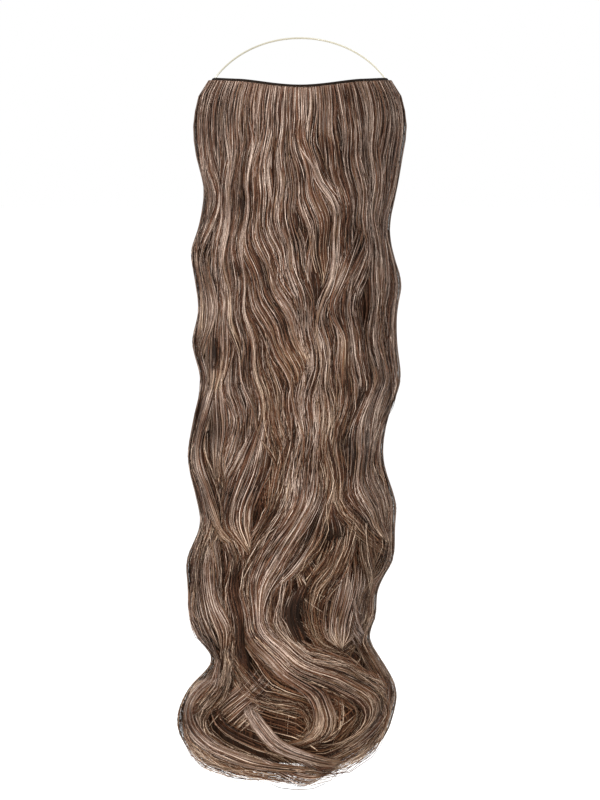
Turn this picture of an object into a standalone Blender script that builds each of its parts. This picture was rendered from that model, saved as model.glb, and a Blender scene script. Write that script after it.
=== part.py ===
"""Halo hair extension: a weft band that goes round the back of a head, a clear wire
over the forehead, and two rows of wavy hair sewn to the outside of the band.

The frame is in metres with +Z up. The head stands along Z, the face looks to +Y and
the hair hangs on the -Y side. The origin is the middle of the ring that the band and
the wire make, level with the top edge of the band at the back of the head.
"""

import math
from collections import namedtuple

import bmesh
import bpy
from mathutils import Vector

# Weft band: half an ellipse round the back of the head.
BAND_HALF_WIDTH = 0.0755
BAND_DEPTH = 0.0920
BAND_HEIGHT = 0.0140
BAND_THICKNESS = 0.0025
BAND_LIFT = 0.0042
BAND_END_DROP = 0.0028
BAND_END_POWER = 12  # how late the edge drops towards the ends
BAND_LIFT_TURN = math.radians(45)  # from here round to the ends the edge is raised
BAND_END_TURN = math.radians(88)
BAND_PANELS = 33

# Wire: an arch that leans forward over the forehead.
WIRE_DIAMETER = 0.0016
WIRE_REACH = 0.0950
WIRE_RISE = 0.0348
WIRE_BELOW_EDGE = 0.0020
WIRE_END_ANGLE = math.radians(60)
WIRE_STEPS = 28

# Crimp sleeves that hold the ends of the wire to the ends of the band.
SLEEVE_LENGTH = 0.0060
SLEEVE_WALL = 0.0006
SLEEVE_SIDES = 16

# Hair.
HAIR_LENGTH = 0.5950
HAIR_OVERHANG = 0.0155
HAIR_HALF_WIDTH = BAND_HALF_WIDTH + HAIR_OVERHANG
HAIR_WALL = 0.0200
HAIR_ROOT_WALL = 0.0046
HAIR_ROOT_BELOW_EDGE = 0.0020
HAIR_FLUFF_LENGTH = 0.0450
HAIR_LIFT_FADE = 0.1200
HAIR_TUCK = 0.0140
HAIR_REAR_DRIFT = 0.0300
RIDGE_DEPTH = 0.0022
RIDGE_DRIFT = 0.8
PANELS_IN_A_RIDGE = 4

# Edges shorter than this are closed up where locks are fused.
SLIVER = 0.000002
FLAT_ENOUGH = math.radians(3)
SMALL_WELD = 0.00001

# Pieces that touch keep this gap, which is wider between the two rows of hair.
GAP = 0.0003
ROW_GAP = 0.0009

# Layers of the hair, as shares of the wall counted in from its outer face.
ROW_SPLIT = 0.62
OUTER_BACKING = 0.44
BACKING_LENGTH = 0.965
SIDE_PANELS = 20
DOWN_PANELS = 23
UNDER_PANELS = 21
LOCK_SIDES = 6
STATION_SPACING = 0.040
STEPS_PER_PLACE = 8
FEWEST_STATIONS = 6
EDGE_SHARE = 0.985

# The outline seen from behind. Down is a share of HAIR_LENGTH, left and right are
# shares of HAIR_HALF_WIDTH.
Section = namedtuple("Section", "down left right")
SECTIONS = (
    Section(0.000, 0.89, 0.88),
    Section(0.020, 0.95, 0.95),
    Section(0.064, 1.00, 1.00),
    Section(0.107, 0.97, 0.96),
    Section(0.150, 0.90, 0.91),
    Section(0.205, 0.95, 0.84),
    Section(0.240, 1.02, 0.87),
    Section(0.285, 0.98, 0.95),
    Section(0.325, 0.95, 0.91),
    Section(0.370, 1.01, 0.91),
    Section(0.425, 0.93, 0.94),
    Section(0.480, 1.00, 0.82),
    Section(0.536, 1.05, 0.78),
    Section(0.600, 0.96, 0.90),
    Section(0.630, 0.93, 0.89),
    Section(0.680, 1.06, 0.87),
    Section(0.720, 1.05, 0.73),
    Section(0.760, 1.04, 0.71),
    Section(0.793, 0.96, 0.64),
    Section(0.822, 0.80, 0.76),
    Section(0.864, 1.04, 0.90),
    Section(0.905, 1.15, 0.87),
    Section(0.940, 1.10, 0.76),
    Section(0.970, 0.90, 0.50),
    Section(1.000, 0.40, 0.36),
)

# A lock seen from behind. Width is a share of HAIR_HALF_WIDTH, ride and thick are
# shares of the wall: how deep its outer face lies, and half its thickness. The route
# gives places across and down, as shares of HAIR_HALF_WIDTH and HAIR_LENGTH.
Lock = namedtuple("Lock", "name width ride thick route")
LOCKS = (
    Lock("left edge", 0.17, 0.00, 0.26, (
        (-0.84, 0.00), (-0.91, 0.06), (-0.85, 0.15), (-0.92, 0.25), (-0.86, 0.32),
        (-0.90, 0.37), (-0.86, 0.42))),
    Lock("left second", 0.14, 0.12, 0.20, (
        (-0.69, 0.00), (-0.73, 0.08), (-0.73, 0.16), (-0.78, 0.24), (-0.73, 0.31),
        (-0.78, 0.38), (-0.87, 0.45), (-0.96, 0.53), (-0.92, 0.59), (-0.80, 0.64),
        (-0.61, 0.67))),
    Lock("left third", 0.15, 0.08, 0.22, (
        (-0.56, 0.00), (-0.60, 0.12), (-0.68, 0.24), (-0.65, 0.38), (-0.58, 0.47),
        (-0.61, 0.52), (-0.74, 0.57), (-0.80, 0.62), (-0.82, 0.67), (-0.80, 0.72),
        (-0.71, 0.77), (-0.65, 0.82), (-0.74, 0.86), (-0.91, 0.89), (-0.93, 0.92),
        (-0.74, 0.95), (-0.38, 0.97), (0.04, 0.98), (0.38, 0.98))),
    Lock("left fourth", 0.15, 0.04, 0.24, (
        (-0.42, 0.00), (-0.46, 0.10), (-0.52, 0.22), (-0.48, 0.34), (-0.39, 0.47),
        (-0.42, 0.53), (-0.59, 0.59), (-0.62, 0.64), (-0.56, 0.68), (-0.61, 0.74),
        (-0.63, 0.79), (-0.54, 0.84), (-0.28, 0.87), (0.02, 0.88), (0.14, 0.91),
        (0.00, 0.93))),
    Lock("diagonal", 0.15, 0.06, 0.22, (
        (-0.35, 0.00), (-0.40, 0.10), (-0.43, 0.20), (-0.46, 0.28), (-0.33, 0.37),
        (-0.20, 0.47), (-0.15, 0.54), (-0.24, 0.60), (-0.40, 0.65))),
    Lock("swept left", 0.15, 0.02, 0.25, (
        (-0.28, 0.00), (-0.33, 0.10), (-0.34, 0.18), (-0.24, 0.25), (-0.09, 0.35),
        (-0.02, 0.43), (-0.04, 0.52), (-0.14, 0.59), (-0.36, 0.65), (-0.48, 0.70),
        (-0.45, 0.76), (-0.28, 0.80), (0.00, 0.83), (0.30, 0.85), (0.50, 0.87),
        (0.54, 0.90), (0.38, 0.93))),
    Lock("swept right", 0.17, 0.00, 0.25, (
        (-0.15, 0.00), (-0.15, 0.10), (-0.12, 0.20), (0.02, 0.29), (0.11, 0.38),
        (0.06, 0.46), (0.05, 0.55), (-0.04, 0.62), (-0.19, 0.68), (-0.25, 0.73),
        (-0.19, 0.78), (0.03, 0.81), (0.38, 0.83), (0.68, 0.86), (0.80, 0.89),
        (0.72, 0.93), (0.43, 0.96), (0.10, 0.97), (-0.16, 0.95), (-0.36, 0.93))),
    Lock("middle", 0.13, 0.10, 0.20, (
        (0.00, 0.00), (0.01, 0.08), (0.03, 0.14), (0.10, 0.20), (0.08, 0.29),
        (0.17, 0.35), (0.19, 0.43), (0.17, 0.50), (0.16, 0.57), (0.08, 0.63),
        (-0.12, 0.67), (-0.28, 0.70))),
    Lock("crossing", 0.10, 0.00, 0.22, (
        (0.10, 0.00), (0.06, 0.07), (0.16, 0.12), (0.30, 0.16), (0.35, 0.21),
        (0.29, 0.26), (0.19, 0.31), (0.22, 0.37), (0.26, 0.44), (0.25, 0.51),
        (0.27, 0.58), (0.18, 0.64), (-0.01, 0.68), (-0.14, 0.71))),
    Lock("right curl", 0.13, 0.00, 0.25, (
        (0.24, 0.00), (0.26, 0.07), (0.34, 0.13), (0.40, 0.21), (0.35, 0.29),
        (0.37, 0.38), (0.41, 0.42), (0.34, 0.48), (0.32, 0.53), (0.38, 0.59),
        (0.54, 0.63), (0.74, 0.66), (0.82, 0.69), (0.73, 0.71))),
    Lock("right inner", 0.17, 0.09, 0.22, (
        (0.42, 0.00), (0.49, 0.07), (0.51, 0.14), (0.56, 0.22), (0.45, 0.29),
        (0.43, 0.34), (0.52, 0.41), (0.49, 0.47), (0.42, 0.53), (0.42, 0.61),
        (0.32, 0.68), (0.15, 0.72), (0.11, 0.76), (0.22, 0.79), (0.42, 0.81))),
    Lock("right second", 0.15, 0.06, 0.22, (
        (0.60, 0.00), (0.66, 0.07), (0.65, 0.15), (0.66, 0.22), (0.71, 0.28),
        (0.67, 0.35), (0.75, 0.43), (0.64, 0.48), (0.53, 0.53), (0.60, 0.61),
        (0.64, 0.68), (0.63, 0.75), (0.52, 0.79), (0.36, 0.81))),
    Lock("right edge", 0.17, 0.00, 0.26, (
        (0.84, 0.00), (0.91, 0.05), (0.92, 0.09), (0.81, 0.18), (0.80, 0.23),
        (0.87, 0.28), (0.83, 0.35), (0.89, 0.42), (0.74, 0.48), (0.67, 0.54),
        (0.78, 0.61), (0.76, 0.65), (0.63, 0.68))),
    Lock("lower right", 0.15, 0.04, 0.22, (
        (0.46, 0.73), (0.57, 0.79), (0.74, 0.82), (0.82, 0.86), (0.79, 0.90),
        (0.63, 0.94), (0.42, 0.96))),
    Lock("lower left", 0.16, 0.02, 0.25, (
        (-0.82, 0.58), (-0.90, 0.64), (-0.99, 0.70), (-0.99, 0.75), (-0.88, 0.79),
        (-0.73, 0.82), (-0.80, 0.85), (-0.98, 0.88), (-1.05, 0.91), (-0.98, 0.94),
        (-0.76, 0.97), (-0.44, 0.98), (-0.10, 0.99))),
)

# Locks on the two flanks, which the view from behind sees edge on: place round the
# head, length as a share of HAIR_LENGTH, and where in its wave each one starts.
Flank = namedtuple("Flank", "turn_deg length phase")
FLANKS = (
    Flank(-88, 0.86, 0.10),
    Flank(-76, 0.93, 0.35),
    Flank(-64, 0.80, 0.55),
    Flank(64, 0.78, 0.30),
    Flank(76, 0.91, 0.05),
    Flank(88, 0.84, 0.75),
)
FLANK_WIDTH = 0.19
FLANK_RIDE = 0.04
FLANK_THICK = 0.24
FLANK_SWAY_DEG = 5.0
FLANK_SWAY_FROM = 0.2
FLANK_WAVE_LENGTH = 0.1300
FLANK_STATIONS = 15

# How a lock's width and thickness grow from the root and run out at the tip.
ROOT_SHARE = 0.60
GROWTH_SHARE = 0.16
TIP_SHARE = 0.40
TIP_LENGTH_SHARE = 0.16


def smooth_step(share):
    share = min(max(share, 0.0), 1.0)
    return share * share * (3.0 - 2.0 * share)


def outline(down):
    """Half widths of the hair on its left and its right, in metres."""
    down = min(max(down, 0.0), 1.0)
    index = 0
    while index < len(SECTIONS) - 2 and down > SECTIONS[index + 1].down:
        index += 1
    before = SECTIONS[max(index - 1, 0)]
    low = SECTIONS[index]
    high = SECTIONS[index + 1]
    after = SECTIONS[min(index + 2, len(SECTIONS) - 1)]
    span = high.down - low.down
    share = (down - low.down) / span
    values = []
    for side in ("left", "right"):
        here, there = getattr(low, side), getattr(high, side)
        leaving = (there - getattr(before, side)) / (high.down - before.down) * span
        arriving = (getattr(after, side) - here) / (after.down - low.down) * span
        value = (
            (2 * share**3 - 3 * share**2 + 1) * here
            + (share**3 - 2 * share**2 + share) * leaving
            + (3 * share**2 - 2 * share**3) * there
            + (share**3 - share**2) * arriving
        )
        at_root = BAND_HALF_WIDTH + ROW_GAP + HAIR_ROOT_WALL
        clear = smooth_step(down * HAIR_LENGTH / BAND_HEIGHT)
        values.append(at_root + (value * HAIR_HALF_WIDTH - at_root) * clear)
    return values


def wall(down):
    """Thickness of the hair, thin where it is sewn on and full below."""
    grown = smooth_step(down * HAIR_LENGTH / HAIR_FLUFF_LENGTH)
    return HAIR_ROOT_WALL + (HAIR_WALL - HAIR_ROOT_WALL) * grown


def band_edge_height(turn):
    """Height of the band's top edge: up over the ears, down again at its ends."""
    share = abs(turn) / (math.pi / 2)
    risen = smooth_step(abs(turn) / BAND_LIFT_TURN)
    return BAND_LIFT * risen - BAND_END_DROP * share**BAND_END_POWER


def hair_point(turn, down, inset):
    """A point of the hair at this turn round the head, this far in from the face."""
    left, right = outline(down)
    half_width = left if turn < 0 else right
    front = BAND_DEPTH + ROW_GAP + wall(down) - HAIR_TUCK * down
    rear = -HAIR_REAR_DRIFT * smooth_step(down)
    fade = 1.0 - smooth_step(down * HAIR_LENGTH / HAIR_LIFT_FADE)
    height = band_edge_height(turn) * fade - HAIR_ROOT_BELOW_EDGE - down * HAIR_LENGTH
    return Vector((
        (half_width - inset) * math.sin(turn),
        rear - (front + rear - inset) * math.cos(turn),
        height,
    ))


def hair_turn(across, down, inset):
    """The turn round the head at which a view from behind sees this place."""
    left, right = outline(down)
    half_width = (left if across < 0 else right) - inset
    share = across * HAIR_HALF_WIDTH / half_width
    return math.asin(min(max(share, -EDGE_SHARE), EDGE_SHARE))


def part_collection():
    collection = bpy.data.collections.new("halo_hair_extension")
    bpy.context.scene.collection.children.link(collection)
    return collection


def material(name, colour, roughness, metallic=0.0, transmission=0.0):
    made = bpy.data.materials.new(name)
    made.use_nodes = True
    shader = made.node_tree.nodes["Principled BSDF"]
    shader.inputs["Base Color"].default_value = (*colour, 1.0)
    shader.inputs["Roughness"].default_value = roughness
    shader.inputs["Metallic"].default_value = metallic
    shader.inputs["Transmission Weight"].default_value = transmission
    made.diffuse_color = (*colour, 1.0)
    return made


def add_object(name, mesh, collection, surface):
    mesh.materials.append(surface)
    made = bpy.data.objects.new(name, mesh)
    collection.objects.link(made)
    return made


def skin(mesh_name, rings, strip_caps=False):
    """A closed body through rings with the same number of points."""
    body = bmesh.new()
    rows = [[body.verts.new(point) for point in ring] for ring in rings]
    sides = len(rows[0])
    for upper, lower in zip(rows, rows[1:]):
        for i in range(sides):
            j = (i + 1) % sides
            body.faces.new((upper[i], upper[j], lower[j], lower[i]))
    for row in (rows[0], rows[-1]):
        if strip_caps:
            for i in range(sides // 2 - 1):
                body.faces.new((row[i], row[i + 1], row[-i - 2], row[-i - 1]))
        else:
            body.faces.new(row)
    bmesh.ops.recalc_face_normals(body, faces=body.faces)
    mesh = bpy.data.meshes.new(mesh_name)
    body.to_mesh(mesh)
    body.free()
    mesh.shade_smooth()
    return mesh


def band_point(turn, inset, below):
    return Vector((
        (BAND_HALF_WIDTH - inset) * math.sin(turn),
        -(BAND_DEPTH - inset) * math.cos(turn),
        band_edge_height(turn) - below,
    ))


def weft_band(collection):
    """A flat sewn strip, one panel wide at the very back so that its middle is flat."""
    turns = [BAND_END_TURN * (2 * i / BAND_PANELS - 1) for i in range(BAND_PANELS + 1)]
    rings = []
    for turn in turns:
        rings.append([
            band_point(turn, 0.0, 0.0),
            band_point(turn, 0.0, BAND_HEIGHT),
            band_point(turn, BAND_THICKNESS, BAND_HEIGHT),
            band_point(turn, BAND_THICKNESS, 0.0),
        ])
    mesh = skin("weft_band", rings)
    mesh.shade_flat()
    surface = material("weft", (0.02, 0.012, 0.008), 0.8)
    return add_object("weft_band", mesh, collection, surface)


def wire_end():
    """Where the wire leaves the sleeve on the right, just past the end of the band."""
    end = band_point(BAND_END_TURN, BAND_THICKNESS / 2, WIRE_BELOW_EDGE)
    end.y += GAP + SLEEVE_LENGTH
    return end


def wire_rise(across):
    """Height of the arch, a round arc seen from behind: 0 at its ends, 1 at its crown."""
    angle = math.asin(across * math.sin(WIRE_END_ANGLE))
    return (math.cos(angle) - math.cos(WIRE_END_ANGLE)) / (1 - math.cos(WIRE_END_ANGLE))


def wire_route():
    """Points of the wire from the left sleeve over the forehead to the right one."""
    end = wire_end()
    inside = end - Vector((0.0, SLEEVE_LENGTH, 0.0))
    route = [Vector((-inside.x, inside.y, inside.z))]
    for i in range(WIRE_STEPS + 1):
        turn = math.pi / 2 * (2 * i / WIRE_STEPS - 1)
        across = math.sin(turn)
        route.append(Vector((
            end.x * across,
            end.y + (WIRE_REACH - end.y) * math.cos(turn),
            end.z + WIRE_RISE * wire_rise(across),
        )))
    return route + [inside]


def halo_wire(collection):
    curve = bpy.data.curves.new("halo_wire", "CURVE")
    curve.dimensions = "3D"
    curve.bevel_depth = WIRE_DIAMETER / 2
    curve.bevel_resolution = 2
    curve.use_fill_caps = True
    route = wire_route()
    spline = curve.splines.new("POLY")
    spline.points.add(len(route) - 1)
    for point, place in zip(spline.points, route):
        point.co = (*place, 1.0)
    surface = material("nylon", (0.85, 0.81, 0.72), 0.25, transmission=0.3)
    return add_object("halo_wire", curve, collection, surface)


def wire_anchor(collection, name, side, surface):
    """A crimp sleeve: a tube turned about the wire's end."""
    bore = WIRE_DIAMETER / 2 + GAP
    outside = bore + SLEEVE_WALL
    mesh = bpy.data.meshes.new(name)
    profile = bmesh.new()
    half = SLEEVE_LENGTH / 2
    corners = [(outside, half), (outside, -half), (bore, -half), (bore, half)]
    points = [profile.verts.new((radius, 0.0, height)) for radius, height in corners]
    for i, point in enumerate(points):
        profile.edges.new((point, points[(i + 1) % len(points)]))
    profile.to_mesh(mesh)
    profile.free()
    sleeve = add_object(name, mesh, collection, surface)
    turned = sleeve.modifiers.new("turned", "SCREW")
    turned.steps = SLEEVE_SIDES
    turned.render_steps = SLEEVE_SIDES
    turned.use_merge_vertices = True
    turned.merge_threshold = SMALL_WELD
    end = wire_end()
    sleeve.rotation_euler = (math.radians(90), 0.0, 0.0)
    sleeve.location = (side * end.x, end.y - half, end.z)
    return sleeve


def row_rings(outer_share, inner_share, inner_gap, panels, ridge):
    """Rings of one row's backing: out along its outer face and back along its inner."""
    half_turn = math.radians(90)
    turns = [half_turn * (2 * i / SIDE_PANELS - 1) for i in range(SIDE_PANELS + 1)]
    rings = []
    for j in range(panels + 1):
        down = BACKING_LENGTH * j / DOWN_PANELS
        thick = wall(down)
        outer = [hair_point(t, down, outer_share * thick) for t in turns]
        inner = []
        for i, turn in enumerate(turns):
            grown = smooth_step((down * HAIR_LENGTH - BAND_HEIGHT) / HAIR_FLUFF_LENGTH)
            wave = math.sin(2 * math.pi * (i / PANELS_IN_A_RIDGE + RIDGE_DRIFT * down))
            inset = inner_share * thick - inner_gap + ridge * grown * wave
            inner.append(hair_point(turn, down, inset))
        rings.append(outer + inner[::-1])
    return rings


def under_row(collection, surface):
    rings = row_rings(ROW_SPLIT, 1.0, 0.0, UNDER_PANELS, RIDGE_DEPTH)
    mesh = skin("hair_under_row", rings, strip_caps=True)
    return add_object("hair_under_row", mesh, collection, surface)


def smooth_route(route):
    """The route's points joined by a smooth curve and spaced evenly along it."""
    fine = []
    last = len(route) - 1
    for i in range(last):
        p0, p1 = Vector(route[max(i - 1, 0)]), Vector(route[i])
        p2, p3 = Vector(route[i + 1]), Vector(route[min(i + 2, last)])
        bend = 2 * p0 - 5 * p1 + 4 * p2 - p3
        turn = 3 * p1 - p0 - 3 * p2 + p3
        for k in range(STEPS_PER_PLACE):
            t = k / STEPS_PER_PLACE
            fine.append(0.5 * (2 * p1 + (p2 - p0) * t + bend * t**2 + turn * t**3))
    fine.append(Vector(route[last]))
    lengths = [0.0]
    for a, b in zip(fine, fine[1:]):
        step = Vector(((b.x - a.x) * HAIR_HALF_WIDTH, (b.y - a.y) * HAIR_LENGTH))
        lengths.append(lengths[-1] + step.length)
    count = max(int(lengths[-1] / STATION_SPACING), FEWEST_STATIONS)
    even = []
    index = 0
    for k in range(count + 1):
        want = lengths[-1] * k / count
        while index < len(fine) - 2 and lengths[index + 1] < want:
            index += 1
        share = (want - lengths[index]) / (lengths[index + 1] - lengths[index])
        even.append(fine[index].lerp(fine[index + 1], share))
    return even


def lock_body(name, stations, half_width, thick):
    """A tapering lock through stations of turn, down and ride."""
    centres = []
    for turn, down, ride in stations:
        centres.append(hair_point(turn, down, (ride + thick) * wall(down)))
    rings = []
    last = len(stations) - 1
    for k, (turn, down, _) in enumerate(stations):
        share = k / last
        grown = ROOT_SHARE + (1 - ROOT_SHARE) * smooth_step(share / GROWTH_SHARE)
        run_out = smooth_step((1 - share) / TIP_LENGTH_SHARE)
        size = grown * (TIP_SHARE + (1 - TIP_SHARE) * run_out)
        way = (centres[min(k + 1, last)] - centres[max(k - 1, 0)]).normalized()
        out = Vector((math.sin(turn), -math.cos(turn), 0.0))
        out = (out - way * out.dot(way)).normalized()
        across = way.cross(out)
        wide = half_width * size
        deep = thick * wall(down) * (TIP_SHARE + (1 - TIP_SHARE) * run_out)
        ring = []
        for i in range(LOCK_SIDES):
            angle = 2 * math.pi * (i + 0.5) / LOCK_SIDES
            aside = across * wide * math.cos(angle)
            ring.append(centres[k] + aside + out * deep * math.sin(angle))
        rings.append(ring)
    return skin(name, rings)


def lock_meshes():
    meshes = []
    for lock in LOCKS:
        stations = []
        for place in smooth_route(lock.route):
            across, down = place
            inset = (lock.ride + lock.thick) * wall(down)
            stations.append((hair_turn(across, down, inset), down, lock.ride))
        width = lock.width * HAIR_HALF_WIDTH
        meshes.append(lock_body(lock.name, stations, width, lock.thick))
    for flank in FLANKS:
        stations = []
        for k in range(FLANK_STATIONS + 1):
            down = flank.length * k / FLANK_STATIONS
            waves = down * HAIR_LENGTH / FLANK_WAVE_LENGTH + flank.phase
            wave = math.sin(2 * math.pi * waves)
            sway = FLANK_SWAY_DEG * smooth_step(down / FLANK_SWAY_FROM) * wave
            turn = math.radians(flank.turn_deg + sway)
            stations.append((turn, down, FLANK_RIDE))
        width = FLANK_WIDTH * HAIR_HALF_WIDTH
        meshes.append(lock_body("flank", stations, width, FLANK_THICK))
    return meshes


def keep_outer_shell(mesh):
    """Closes up slivers, and removes the pockets that fused locks leave inside."""
    body = bmesh.new()
    body.from_mesh(mesh)
    bmesh.ops.triangulate(body, faces=body.faces)
    bmesh.ops.remove_doubles(body, verts=body.verts, dist=SLIVER)
    unseen = set(body.faces)
    groups = []
    while unseen:
        group = []
        waiting = [unseen.pop()]
        while waiting:
            face = waiting.pop()
            group.append(face)
            for edge in face.edges:
                if len(edge.link_faces) != 2:
                    continue
                for other in edge.link_faces:
                    if other in unseen:
                        unseen.discard(other)
                        waiting.append(other)
        groups.append(group)
    groups.sort(key=len)
    pockets = [face for group in groups[:-1] for face in group]
    bmesh.ops.delete(body, geom=pockets, context="FACES")
    bmesh.ops.dissolve_limit(body, angle_limit=FLAT_ENOUGH, verts=body.verts, edges=body.edges)
    bmesh.ops.triangulate(body, faces=body.faces)
    body.to_mesh(mesh)
    body.free()


def fused(base, others, operation):
    """The mesh of an object with others joined to it or cut from it."""
    step = base.modifiers.new("fuse", "BOOLEAN")
    step.operation = operation
    step.operand_type = "COLLECTION"
    step.collection = others
    step.solver = "MANIFOLD"
    bpy.context.view_layer.update()
    graph = bpy.context.evaluated_depsgraph_get()
    mesh = bpy.data.meshes.new_from_object(base.evaluated_get(graph))
    base.modifiers.remove(step)
    return mesh


def helper_collection(name, meshes):
    helpers = bpy.data.collections.new(name)
    bpy.context.scene.collection.children.link(helpers)
    for mesh in meshes:
        helper = bpy.data.objects.new(mesh.name, mesh)
        helper.hide_render = True
        helper.display_type = "WIRE"
        helpers.objects.link(helper)
    return helpers


def room_for_under_row():
    """A solid that fills the under row and its hollow, with the gap round it."""
    half_turn = math.radians(90)
    turns = [half_turn * (2 * i / SIDE_PANELS - 1) for i in range(SIDE_PANELS + 1)]
    rings = []
    for j in range(UNDER_PANELS + 2):
        down = BACKING_LENGTH * j / DOWN_PANELS
        face = [hair_point(t, down, ROW_SPLIT * wall(down) - ROW_GAP) for t in turns]
        behind = Vector((0.0, ROW_GAP, 0.0))
        rings.append([face[0] + behind] + face + [face[-1] + behind])
    rings[0] = [point + Vector((0.0, 0.0, HAIR_ROOT_WALL)) for point in rings[0]]
    return skin("room_for_under_row", rings)


def outer_row(collection, surface):
    """The backing of the outer row with every lock fused to it."""
    rings = row_rings(OUTER_BACKING, ROW_SPLIT, -ROW_GAP, DOWN_PANELS, 0.0)
    row = add_object("hair_outer_row", skin("hair_outer_row", rings, True), collection, surface)
    locks = helper_collection("locks_to_fuse", lock_meshes())
    row.data = fused(row, locks, "UNION")
    room = helper_collection("room_to_cut", [room_for_under_row()])
    row.data = fused(row, room, "DIFFERENCE")
    for helpers in (locks, room):
        for helper in list(helpers.objects):
            bpy.data.objects.remove(helper)
        bpy.data.collections.remove(helpers)
    keep_outer_shell(row.data)
    row.data.shade_smooth()
    return row


def main():
    for item in list(bpy.data.objects):
        bpy.data.objects.remove(item)
    collection = part_collection()
    weft_band(collection)
    halo_wire(collection)
    metal = material("crimp", (0.45, 0.36, 0.28), 0.4, metallic=0.6)
    wire_anchor(collection, "wire_anchor_left", -1, metal)
    wire_anchor(collection, "wire_anchor_right", 1, metal)
    under_row(collection, material("under_hair", (0.10, 0.06, 0.04), 0.55))
    outer_row(collection, material("outer_hair", (0.17, 0.105, 0.075), 0.45))


main()
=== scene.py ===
"""Looks of the halo hair extension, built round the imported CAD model.

Every lock is a bundle of fine strands that follows the same route as the lock in the
CAD solid. The strands are thin strips, joined into a few meshes. All is in metres.
"""

import math
from collections import namedtuple

import bmesh
import bpy
import numpy as np
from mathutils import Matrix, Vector


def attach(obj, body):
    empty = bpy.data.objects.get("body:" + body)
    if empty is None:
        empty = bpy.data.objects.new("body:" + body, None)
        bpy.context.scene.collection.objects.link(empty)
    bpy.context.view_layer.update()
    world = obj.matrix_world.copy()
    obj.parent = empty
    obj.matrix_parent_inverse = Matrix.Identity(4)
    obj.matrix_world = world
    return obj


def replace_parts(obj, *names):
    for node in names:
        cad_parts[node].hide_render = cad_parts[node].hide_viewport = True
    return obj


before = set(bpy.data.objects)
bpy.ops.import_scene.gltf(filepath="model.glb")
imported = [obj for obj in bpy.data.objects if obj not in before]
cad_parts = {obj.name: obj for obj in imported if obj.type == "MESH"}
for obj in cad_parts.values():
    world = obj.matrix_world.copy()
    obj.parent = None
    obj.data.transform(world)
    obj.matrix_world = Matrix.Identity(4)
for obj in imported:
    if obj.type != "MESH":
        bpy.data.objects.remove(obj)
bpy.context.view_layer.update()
RANDOM = np.random.default_rng(20240)

# Sizes that the CAD model is made from.
BAND_HALF_WIDTH = 0.0755
BAND_DEPTH = 0.0920
BAND_HEIGHT = 0.0140
BAND_THICKNESS = 0.0025
BAND_LIFT = 0.0042
BAND_END_DROP = 0.0028
BAND_END_POWER = 12
BAND_LIFT_TURN = math.radians(45)
BAND_END_TURN = math.radians(88)
WIRE_DIAMETER = 0.0016
WIRE_REACH = 0.0950
WIRE_RISE = 0.0348
WIRE_BELOW_EDGE = 0.0020
WIRE_END_ANGLE = math.radians(60)
SLEEVE_LENGTH = 0.0060
SLEEVE_WALL = 0.0006
GAP = 0.0003
ROW_GAP = 0.0009
HAIR_LENGTH = 0.5950
HAIR_OVERHANG = 0.0155
HAIR_HALF_WIDTH = BAND_HALF_WIDTH + HAIR_OVERHANG
HAIR_WALL = 0.0200
HAIR_ROOT_WALL = 0.0046
HAIR_ROOT_BELOW_EDGE = 0.0020
HAIR_FLUFF_LENGTH = 0.0450
HAIR_LIFT_FADE = 0.1200
HAIR_TUCK = 0.0140
HAIR_REAR_DRIFT = 0.0300
FLANK_RIDE = 0.04
FLANK_THICK = 0.24
FLANK_WIDTH = 0.19
FLANK_SWAY_DEG = 5.0
FLANK_WAVE_LENGTH = 0.1300
ROOT_SHARE = 0.60
GROWTH_SHARE = 0.16
TIP_SHARE = 0.40
TIP_LENGTH_SHARE = 0.16
EDGE_SHARE = 0.985

# The outline seen from behind: down is a share of HAIR_LENGTH, left and right are
# shares of HAIR_HALF_WIDTH.
SECTIONS = np.array((
    (0.000, 0.89, 0.88), (0.020, 0.95, 0.95), (0.064, 1.00, 1.00), (0.107, 0.97, 0.96),
    (0.150, 0.90, 0.91), (0.205, 0.95, 0.84), (0.240, 1.02, 0.87), (0.285, 0.98, 0.95),
    (0.325, 0.95, 0.91), (0.370, 1.01, 0.91), (0.425, 0.93, 0.94), (0.480, 1.00, 0.82),
    (0.536, 1.05, 0.78), (0.600, 0.96, 0.90), (0.630, 0.93, 0.89), (0.680, 1.06, 0.87),
    (0.720, 1.05, 0.73), (0.760, 1.04, 0.71), (0.793, 0.96, 0.64), (0.822, 0.80, 0.76),
    (0.864, 1.04, 0.90), (0.905, 1.15, 0.87), (0.940, 1.10, 0.76), (0.970, 0.90, 0.50),
    (1.000, 0.40, 0.36),
))

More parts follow.
